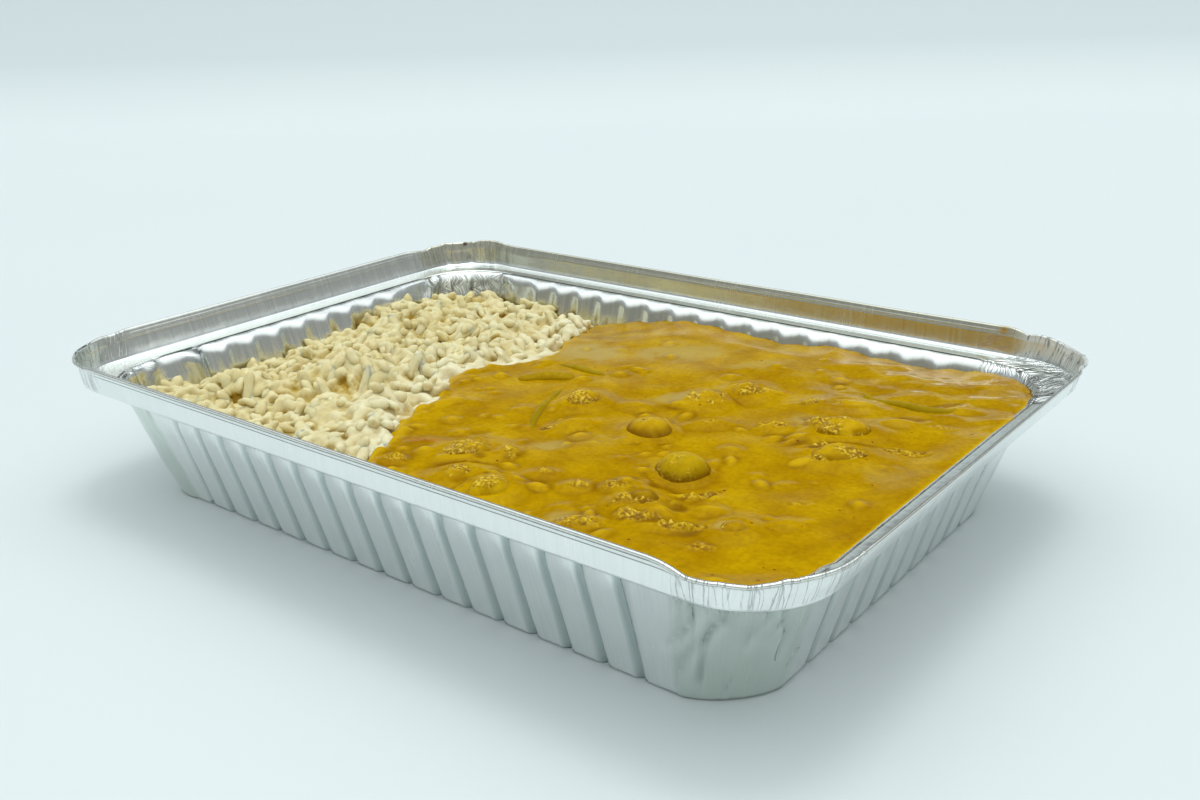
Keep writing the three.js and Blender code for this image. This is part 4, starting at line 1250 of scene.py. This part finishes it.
def make_strips():
    materials = {
        "onion": sauce_material("onion_flesh", ONION_TINT, 0.22),
        "pepper": sauce_material("pepper_flesh", PEPPER_TINT, 0.24),
    }
    angle = (np.arange(STRIP_SIDES) + 0.5) / STRIP_SIDES * 2 * math.pi
    flat = np.sign(np.cos(angle)) * np.abs(np.cos(angle)) ** 0.7
    for number, (name, half_width, proud, line) in enumerate(STRIPS):
        curve = catmull_rom(line, STRIP_STEPS)
        count = len(curve)
        along = np.linspace(0, 1, count)
        way = np.gradient(curve, axis=0)
        way /= np.linalg.norm(way, axis=1, keepdims=True)
        tapered = np.sqrt(np.minimum(1, 0.2 + 12 * np.minimum(along, 1 - along)))
        slim = (0.55 + 0.45 * np.sin(math.pi * along)) * tapered
        slim = slim * (1 + 0.12 * noise(along * 9, 0 * along, 151 + number))
        middle = curry_height(curve[:, 0], curve[:, 1]) + proud - STRIP_HALF_HEIGHT
        out = flat[None] * (half_width * slim)[:, None]
        up = np.sin(angle)[None] * (STRIP_HALF_HEIGHT * slim)[:, None] + middle[:, None]
        rings = np.stack([curve[:, :1] - way[:, 1:] * out, curve[:, 1:] + way[:, :1] * out, up], -1)
        points = np.concatenate([rings.reshape(-1, 3), [rings[0].mean(0), rings[-1].mean(0)]])
        faces = face_list(*tube_faces(count, STRIP_SIDES))
        finish_topping(name, points, faces, materials[name.split("_")[0]], 0.1, 0.15, 0.5)


# ---- the rice -------------------------------------------------------------------------------------

# How high the heap stands against the wall: places along it, heights
RICE_AT_LEFT = [
    (-56, 26.0), (-52, 25.5), (-40, 22.6), (-18, 23.4), (0, 23.8), (15, 25.2), (24, 27.6), (40, 26.5),
    (60, 24.5),
]
RICE_AT_BACK = [(-94, 24.5), (-84, 25.5), (-73, 23.0), (-60, 25.0), (-45, 22.0), (-30, 23.0)]
RICE_LUMPS = 3.0             # height of its lumps
TOP_GRAINS = 0.9             # thickness of the grains over its surface
WALL_CLEARANCE = 2.6         # of the middle of a grain
GRAIN_CLEARANCE = 1.9        # of any point of a grain, from the plain wall
GRAIN_GAP = 0.6              # the least gap between a grain and the real wall
HEAP_GAP = 0.85              # the same for the skin of the heap

GRAIN_RINGS = 8
GRAIN_SIDES = 8
GRAIN_POINTS = GRAIN_RINGS * GRAIN_SIDES + 2
GRAIN_HALF_LENGTHS = (2.9, 4.1)
GRAIN_HALF_WIDTHS = (1.2, 1.55)
GRAIN_TILT = 0.42            # radians, typical

# Layers of grains: spacing, seed, lowest and highest place over the surface, share of steep grains,
# and how low the noise may fall before a place stays empty
FUSED_LAYERS = [(2.9, 171, -2.6, -1.3, 0.05, -2.0), (2.9, 174, -1.3, 0.8, 0.14, -0.38)]
LOOSE_LAYER = (4.8, 172, 0.1, 1.0, 0.3, -0.2)

CORE_STEP = 0.8              # between the points of the core's surface
CORE_DEPTH = 3.0             # of the core's surface under the heap's
RICE_VOXEL = 0.45
RICE_SMOOTHING = 2
RICE_KEPT = 0.42             # share of the skin's triangles that is kept


def rice_height(x, y):
    """The level of the rice, as in the CAD solid."""
    rise = 3.0 * smoothstep(x, -90, -25) * (1 - 0.5 * smoothstep(y, 20, 60))
    mound = 1.6 * np.exp(-((x + 50) / 30) ** 2 - (y / 45) ** 2)
    clumps = 1.1 * np.sin(x / 5.2 + 1.1) * np.sin(y / 6.1) + 0.8 * np.sin((x - y) / 8.3)
    return RICE_LEVEL + rise + mound + clumps


def rice_surface(x, y):
    """The heap under its top grains: lumps, and low places along the walls."""
    height = rice_height(x, y) + RICE_LUMPS * fractal(x / 10.0, y / 10.0, 161, 2)
    height = height + (read_off(RICE_AT_LEFT, y) - height) * smoothstep(-x, 74, 90)
    return height + (read_off(RICE_AT_BACK, x) - height) * smoothstep(y, 44, 60) - TOP_GRAINS


def grain_places(spacing, seed, gaps):
    """Places over the rice in a jittered grid, clear of the wall and the curry, with scattered gaps."""
    random = np.random.default_rng(seed)
    x, y = np.meshgrid(np.arange(-98, 5, spacing), np.arange(-68, 68, spacing * 0.87))
    x = x + (np.arange(len(x)) % 2)[:, None] * spacing / 2
    x = (x + random.uniform(-0.45, 0.45, x.shape) * spacing).reshape(-1)
    y = (y + random.uniform(-0.45, 0.45, y.shape) * spacing).reshape(-1)
    keep = (beyond_wall(x, y, rice_surface(x, y)) < -WALL_CLEARANCE) & (x < shore_x(y) - 0.2)
    keep &= noise(x / 4.6, y / 4.6, 163) > gaps
    return x[keep], y[keep], random


def grain_shapes(count, random):
    """Plump boiled grains, a little bent and pinched, each its own."""
    t = np.linspace(-1, 1, GRAIN_RINGS + 2)[1:-1]
    length = random.uniform(*GRAIN_HALF_LENGTHS, count)[:, None, None]
    width = random.uniform(*GRAIN_HALF_WIDTHS, count)[:, None, None]
    flat = random.uniform(0.8, 1.0, count)[:, None, None]
    bend = random.uniform(-0.9, 0.9, count)[:, None, None]
    pinch = random.uniform(-0.16, 0.16, (count, GRAIN_RINGS))[:, :, None]
    girth = (np.sqrt(1 - np.abs(t) ** 2.6))[None, :, None] * (1 + pinch)
    angle = np.linspace(0, 2 * math.pi, GRAIN_SIDES, endpoint=False)[None, None]
    angle = angle + random.uniform(0, 1, count)[:, None, None]
    swell = 1 + random.uniform(-0.08, 0.08, (count, GRAIN_RINGS, GRAIN_SIDES))
    x = t[None, :, None] * length * np.ones((1, 1, GRAIN_SIDES))
    y = np.cos(angle) * girth * width * swell + bend * (1 - t ** 2)[None, :, None]
    z = np.sin(angle) * girth * width * flat * swell
    body = np.stack([x, y, z], -1).reshape(count, -1, 3)
    tips = np.zeros((count, 2, 3))
    tips[:, 0, 0], tips[:, 1, 0] = -length[:, 0, 0], length[:, 0, 0]
    return np.concatenate([body, tips], 1), *tube_faces(GRAIN_RINGS, GRAIN_SIDES, turned_over=True)


def laid_grains(spacing, seed, low, high, steep_share, gaps):
    """Grains laid over the heap at random, each between two heights above it. Returns points and faces."""
    x, y, random = grain_places(spacing, seed, gaps)
    count = len(x)
    shapes, quads, caps = grain_shapes(count, random)
    heading = random.uniform(0, 2 * math.pi, count)[:, None]
    pitch = random.normal(0, GRAIN_TILT, count)
    steep = random.random(count) < steep_share
    pitch[steep] = random.uniform(0.6, 1.0, steep.sum())
    pitch = pitch[:, None]
    layer = random.uniform(low, high, count)
    px, py, pz = shapes[..., 0], shapes[..., 1], shapes[..., 2]
    level = px * np.cos(pitch) - pz * np.sin(pitch)
    rise = px * np.sin(pitch) + pz * np.cos(pitch)
    gx = x[:, None] + level * np.cos(heading) - py * np.sin(heading)
    gy = y[:, None] + level * np.sin(heading) + py * np.cos(heading)
    slope = 0.7 * (rice_surface(gx, gy) - rice_surface(x, y)[:, None])
    gz = rice_surface(x, y)[:, None] + layer[:, None] + rise + slope
    points = np.stack([gx, gy, gz], -1).reshape(-1, 3)
    offset = (np.arange(count) * GRAIN_POINTS)[:, None, None]
    faces = face_list((quads[None] + offset).reshape(-1, 4), (caps[None] + offset).reshape(-1, 3))
    return kept_in(drawn_in(points, 0.0, GRAIN_CLEARANCE), GRAIN_GAP), faces


def rice_core():
    """The heap below its top grains, as points and faces."""
    x, y = np.meshgrid(np.arange(-98.4, 4, CORE_STEP), np.arange(-67.2, 67.6, CORE_STEP))
    points, quads = fitted_sheet(x, y, rice_surface(x, y) - CORE_DEPTH, x < shore_x(y) + 2.4)
    return closed_body(points, quads)[:2]


def read(collection, field, width, kind):
    """One field of a mesh's vertices or edges as an array."""
    values = np.zeros(len(collection) * width, kind)
    collection.foreach_get(field, values)
    return values.reshape(-1, width)


def fused(points, faces, material):
    """Joins overlapping pieces into one soft skin: a voxel remesh, then a few passes of smoothing."""
    piece = mesh_object("rice_heap", points, faces, material)
    remesh = piece.modifiers.new("fuse", "REMESH")
    remesh.mode = "VOXEL"
    remesh.voxel_size = RICE_VOXEL * MM
    thinned = piece.modifiers.new("thinned", "DECIMATE")
    thinned.ratio = RICE_KEPT
    evaluated = piece.evaluated_get(bpy.context.evaluated_depsgraph_get())
    mesh = bpy.data.meshes.new_from_object(evaluated)
    mesh.validate()          # the thinning leaves a few doubled faces
    piece.modifiers.clear()
    piece.data = mesh
    places = read(mesh.vertices, "co", 3, np.float32).astype(float)
    a, b = read(mesh.edges, "vertices", 2, np.int32).T
    count = len(places)
    degree = np.bincount(a, minlength=count) + np.bincount(b, minlength=count)
    for _ in range(RICE_SMOOTHING):
        sums = [np.bincount(a, places[b, i], count) + np.bincount(b, places[a, i], count) for i in range(3)]
        places += 0.5 * (np.stack(sums, -1) / degree[:, None] - places)
    normals = read(mesh.vertices, "normal", 3, np.float32)
    swell = 0.3 * noise_around(places / MM, 0.75, 181) + 0.12 * noise_around(places / MM, 1.6, 184)
    places += normals * swell[:, None] * MM
    places = kept_in(places / MM, HEAP_GAP) * MM
    mesh.vertices.foreach_set("co", places.astype(np.float32).reshape(-1))
    mesh.update()
    mesh.shade_smooth()
    return piece, places / MM


def local_level(points):
    """The height of the heap's top averaged over a few millimetres round each point."""
    columns, rows = 110, 140
    column = np.clip((points[:, 0] + 100).astype(int), 0, columns - 1)
    row = np.clip((points[:, 1] + 70).astype(int), 0, rows - 1)
    top = np.full((rows, columns), -1.0)
    np.maximum.at(top, (row, column), points[:, 2])
    filled = (top > 5).astype(float)
    height = top * filled
    for _ in range(4):
        height, filled = averaged(height), averaged(filled)
    level = height / np.maximum(filled, 1e-3)
    return level[row, column]


def mark_rice(piece, points, level, own):
    """Tells the rice material how deep each point lies, how near the curry is, and which grain it is."""
    to_shore = np.maximum(shore_x(points[:, 1]) - points[:, 0], 0)
    height = smoothstep(points[:, 2] - level, -2.6, 0.3)
    add_attributes(piece, {"height": height, "pale": np.exp(-to_shore / 14), "own": own})
    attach(piece, "root")
    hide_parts("rice")


def make_rice():
    """The heap is one soft skin over its grains and core. Loose grains lie and stand on it."""
    material = rice_material()
    all_points, all_faces = rice_core()
    for layer in FUSED_LAYERS:
        points, faces = laid_grains(*layer)
        all_faces += [tuple(index + len(all_points) for index in face) for face in faces]
        all_points = np.concatenate([all_points, points])
    heap, points = fused(all_points, all_faces, material)
    mark_rice(heap, points, local_level(points), 0.5 + 0.5 * noise(points[:, 0] / 4, points[:, 1] / 4, 191))
    points, faces = laid_grains(*LOOSE_LAYER)
    loose = mesh_object("rice_grains", points, faces, material)
    own = np.repeat(np.random.default_rng(173).random(len(points) // GRAIN_POINTS), GRAIN_POINTS)
    mark_rice(loose, points, rice_surface(points[:, 0], points[:, 1]) + 1.0, own)


# Colour by depth in the heap: the darker ochre toward the bottom of the gaps is painted shade, as is the deep
# end of the white rice by the curry
RICE_BY_HEIGHT = [
    (0.0, (0.36, 0.20, 0.006)), (0.4, (0.50, 0.35, 0.06)), (0.75, (0.64, 0.535, 0.25)),
    (1.0, (0.73, 0.65, 0.38)),
]
WHITE_RICE = [(0.48, 0.34, 0.07), (0.80, 0.75, 0.53)]  # deep and on top, by the curry
GRAIN_TINTS = [(0.0, (0.93, 0.90, 0.80)), (0.5, (1.0, 1.0, 1.0)), (1.0, (1.05, 1.07, 1.12))]
RICE_MOTTLE = [(0.3, (0.92, 0.89, 0.8)), (0.6, (1.02, 1.02, 1.0))]


def rice_material():
    """Boiled rice: cream, a little translucent, with painted shade making it darker ochre deep in the gaps,
    and whitest by the curry.
    """
    rice = Shading(
        "rice", Roughness=0.5, IOR=1.25, Subsurface_Weight=0.6, Subsurface_Scale=0.0014,
        Subsurface_Radius=(1.0, 0.85, 0.6))
    height, mottle = rice.attribute("height"), rice.noise(rice.place(), 420.0)
    white = rice.mix(height, *WHITE_RICE)
    colour = rice.mix(rice.attribute("pale"), rice.ramp(height, RICE_BY_HEIGHT), white)
    colour = rice.mix(1.0, colour, rice.ramp(rice.attribute("own"), GRAIN_TINTS), "MULTIPLY")
    rice.use("Base Color", rice.mix(1.0, colour, rice.ramp(mottle, RICE_MOTTLE), "MULTIPLY"))
    rice.use("Normal", rice.bump(mottle, 0.25, 0.0003))
    return rice.material


# ---- floor, light and camera ----------------------------------------------------------------------

# The solved viewpoint: azimuth from straight in front, elevation, turn of the camera on its own axis
CAMERA_AZIMUTH, CAMERA_ELEVATION, CAMERA_ROLL = (math.radians(a) for a in (38.757, 20.373, -1.624))
CAMERA_PLACE = (182.6, -213.3, 128.8)
CAMERA_LENS = 36.54
CAMERA_SENSOR = 36
AHEAD = (-math.sin(CAMERA_AZIMUTH), math.cos(CAMERA_AZIMUTH))   # level direction in which it looks

FLOOR_FRONT = -3000.0        # ends of the flat floor, ahead of the tray
FLOOR_BACK = 700.0
FLOOR_HALF_WIDTH = 3000.0
BACKDROP_RADIUS = 600.0
BACKDROP_TURN = 72           # degrees through which the backdrop curves up
BACKDROP_STEPS = 18
FLOOR_COLOURS = [(0.3, (0.695, 0.75, 0.755)), (0.7, (0.715, 0.765, 0.767))]
BACKDROP_COLOUR = (0.58, 0.645, 0.645)

# Brightness of the room by height in degrees above the horizon, beyond the tray and on the camera's side
ROOM_BEYOND = [
    (-90, 1.0), (15.5, 0.95), (19.5, 0.04), (36, 0.06), (46, 1.0), (54, 1.2), (62, 1.7), (90, 1.7),
]
ROOM_BEHIND_CAMERA = [
    (-90, 1.0), (0, 0.95), (5, 0.33), (28, 0.4), (38, 1.1), (56, 1.3), (62, 1.7), (90, 1.7),
]
ROOM_TINT = (0.92, 0.98, 1.0)
ROOM_CHANGE = (0.76, 0.92)   # cosines from straight ahead between which one gives way to the other

PANEL_SIZE = 0.6
PANEL_POWER = 6
PANEL_PLACE = (0.1, 0.2, 2.0)
PANEL_AIM = (0, 0, 0.03)


def make_stage():
    """A pale floor that curves up into a pale backdrop far behind the tray."""
    floor = Shading("floor", Roughness=0.7)
    colour = floor.ramp(floor.noise(floor.place(), 3.0, 2.0), FLOOR_COLOURS)
    height = floor.node("SeparateXYZ", {"Vector": floor.place()}).outputs["Z"]
    floor.use("Base Color", floor.mix(floor.fit(height, 0.0, 0.04), colour, BACKDROP_COLOUR))
    profile = [(FLOOR_FRONT, 0.0), (FLOOR_BACK, 0.0)]
    for turn in np.radians(np.linspace(0, BACKDROP_TURN, BACKDROP_STEPS + 1)[1:]):
        rise = BACKDROP_RADIUS * (1 - math.cos(turn))
        profile.append((FLOOR_BACK + BACKDROP_RADIUS * math.sin(turn), rise))
    points = []
    for forward, height in profile:
        for reach in (-FLOOR_HALF_WIDTH, FLOOR_HALF_WIDTH):
            x = AHEAD[0] * forward + AHEAD[1] * reach
            y = AHEAD[1] * forward - AHEAD[0] * reach
            points.append((x, y, height))
    backdrop = mesh_object("floor", points, grid_faces(len(profile), 2).tolist(), floor.material)


def make_light():
    """A light tent: a bright panel overhead, a pale strip low down, and darker cloth between them."""
    world = bpy.data.worlds.new("studio")
    bpy.context.scene.world = world
    world.use_nodes = True
    room = Nodes(world.node_tree)
    direction = room.node("TexCoord").outputs["Generated"]
    up = room.node("SeparateXYZ", {"Vector": direction}).outputs["Z"]
    height = room.fit(room.math("ARCSINE", up), -math.pi / 2, math.pi / 2)
    walls = []
    for stops in (ROOM_BEHIND_CAMERA, ROOM_BEYOND):
        colours = [((degrees + 90) / 180, [level * tint for tint in ROOM_TINT]) for degrees, level in stops]
        walls.append(room.ramp(height, colours))
    flat = room.vector_math("MULTIPLY", direction, (1, 1, 0))["Vector"]
    heading = room.vector_math("NORMALIZE", flat)["Vector"]
    ahead = room.vector_math("DOT_PRODUCT", heading, (*AHEAD, 0))["Value"]
    beyond = room.fit(ahead, *ROOM_CHANGE, interpolation_type="SMOOTHSTEP")
    background = world.node_tree.nodes["Background"]
    background.inputs["Strength"].default_value = 1.0
    room.set(background.inputs["Color"], room.mix(beyond, *walls))
    panel = bpy.data.lights.new("panel", "AREA")
    panel.shape = "RECTANGLE"
    panel.size = panel.size_y = PANEL_SIZE
    panel.energy = PANEL_POWER
    lamp = bpy.data.objects.new("panel", panel)
    lamp.location = PANEL_PLACE
    lamp.rotation_euler = (Vector(PANEL_AIM) - lamp.location).to_track_quat("-Z", "Y").to_euler()
    bpy.context.scene.collection.objects.link(lamp)


def make_camera():
    """The camera at the solved viewpoint."""
    out = math.cos(CAMERA_ELEVATION)
    back = Vector((-AHEAD[0] * out, -AHEAD[1] * out, math.sin(CAMERA_ELEVATION)))
    level = Vector((AHEAD[1], -AHEAD[0], 0))
    upright = back.cross(level)
    right = math.cos(CAMERA_ROLL) * level + math.sin(CAMERA_ROLL) * upright
    up = -math.sin(CAMERA_ROLL) * level + math.cos(CAMERA_ROLL) * upright
    data = bpy.data.cameras.new("camera")
    data.lens = CAMERA_LENS
    data.sensor_width = CAMERA_SENSOR
    data.clip_start = 0.01
    view = bpy.data.objects.new("camera", data)
    place = Matrix((right, up, back)).transposed().to_4x4()
    place.translation = Vector(CAMERA_PLACE) * MM
    view.matrix_world = place
    bpy.context.scene.collection.objects.link(view)
    bpy.context.scene.camera = view


make_tray()
make_curry()
make_chickpeas()
make_chunks()
make_strips()
make_rice()
make_stage()
make_light()
make_camera()
bpy.context.scene.view_settings.view_transform = "Standard"
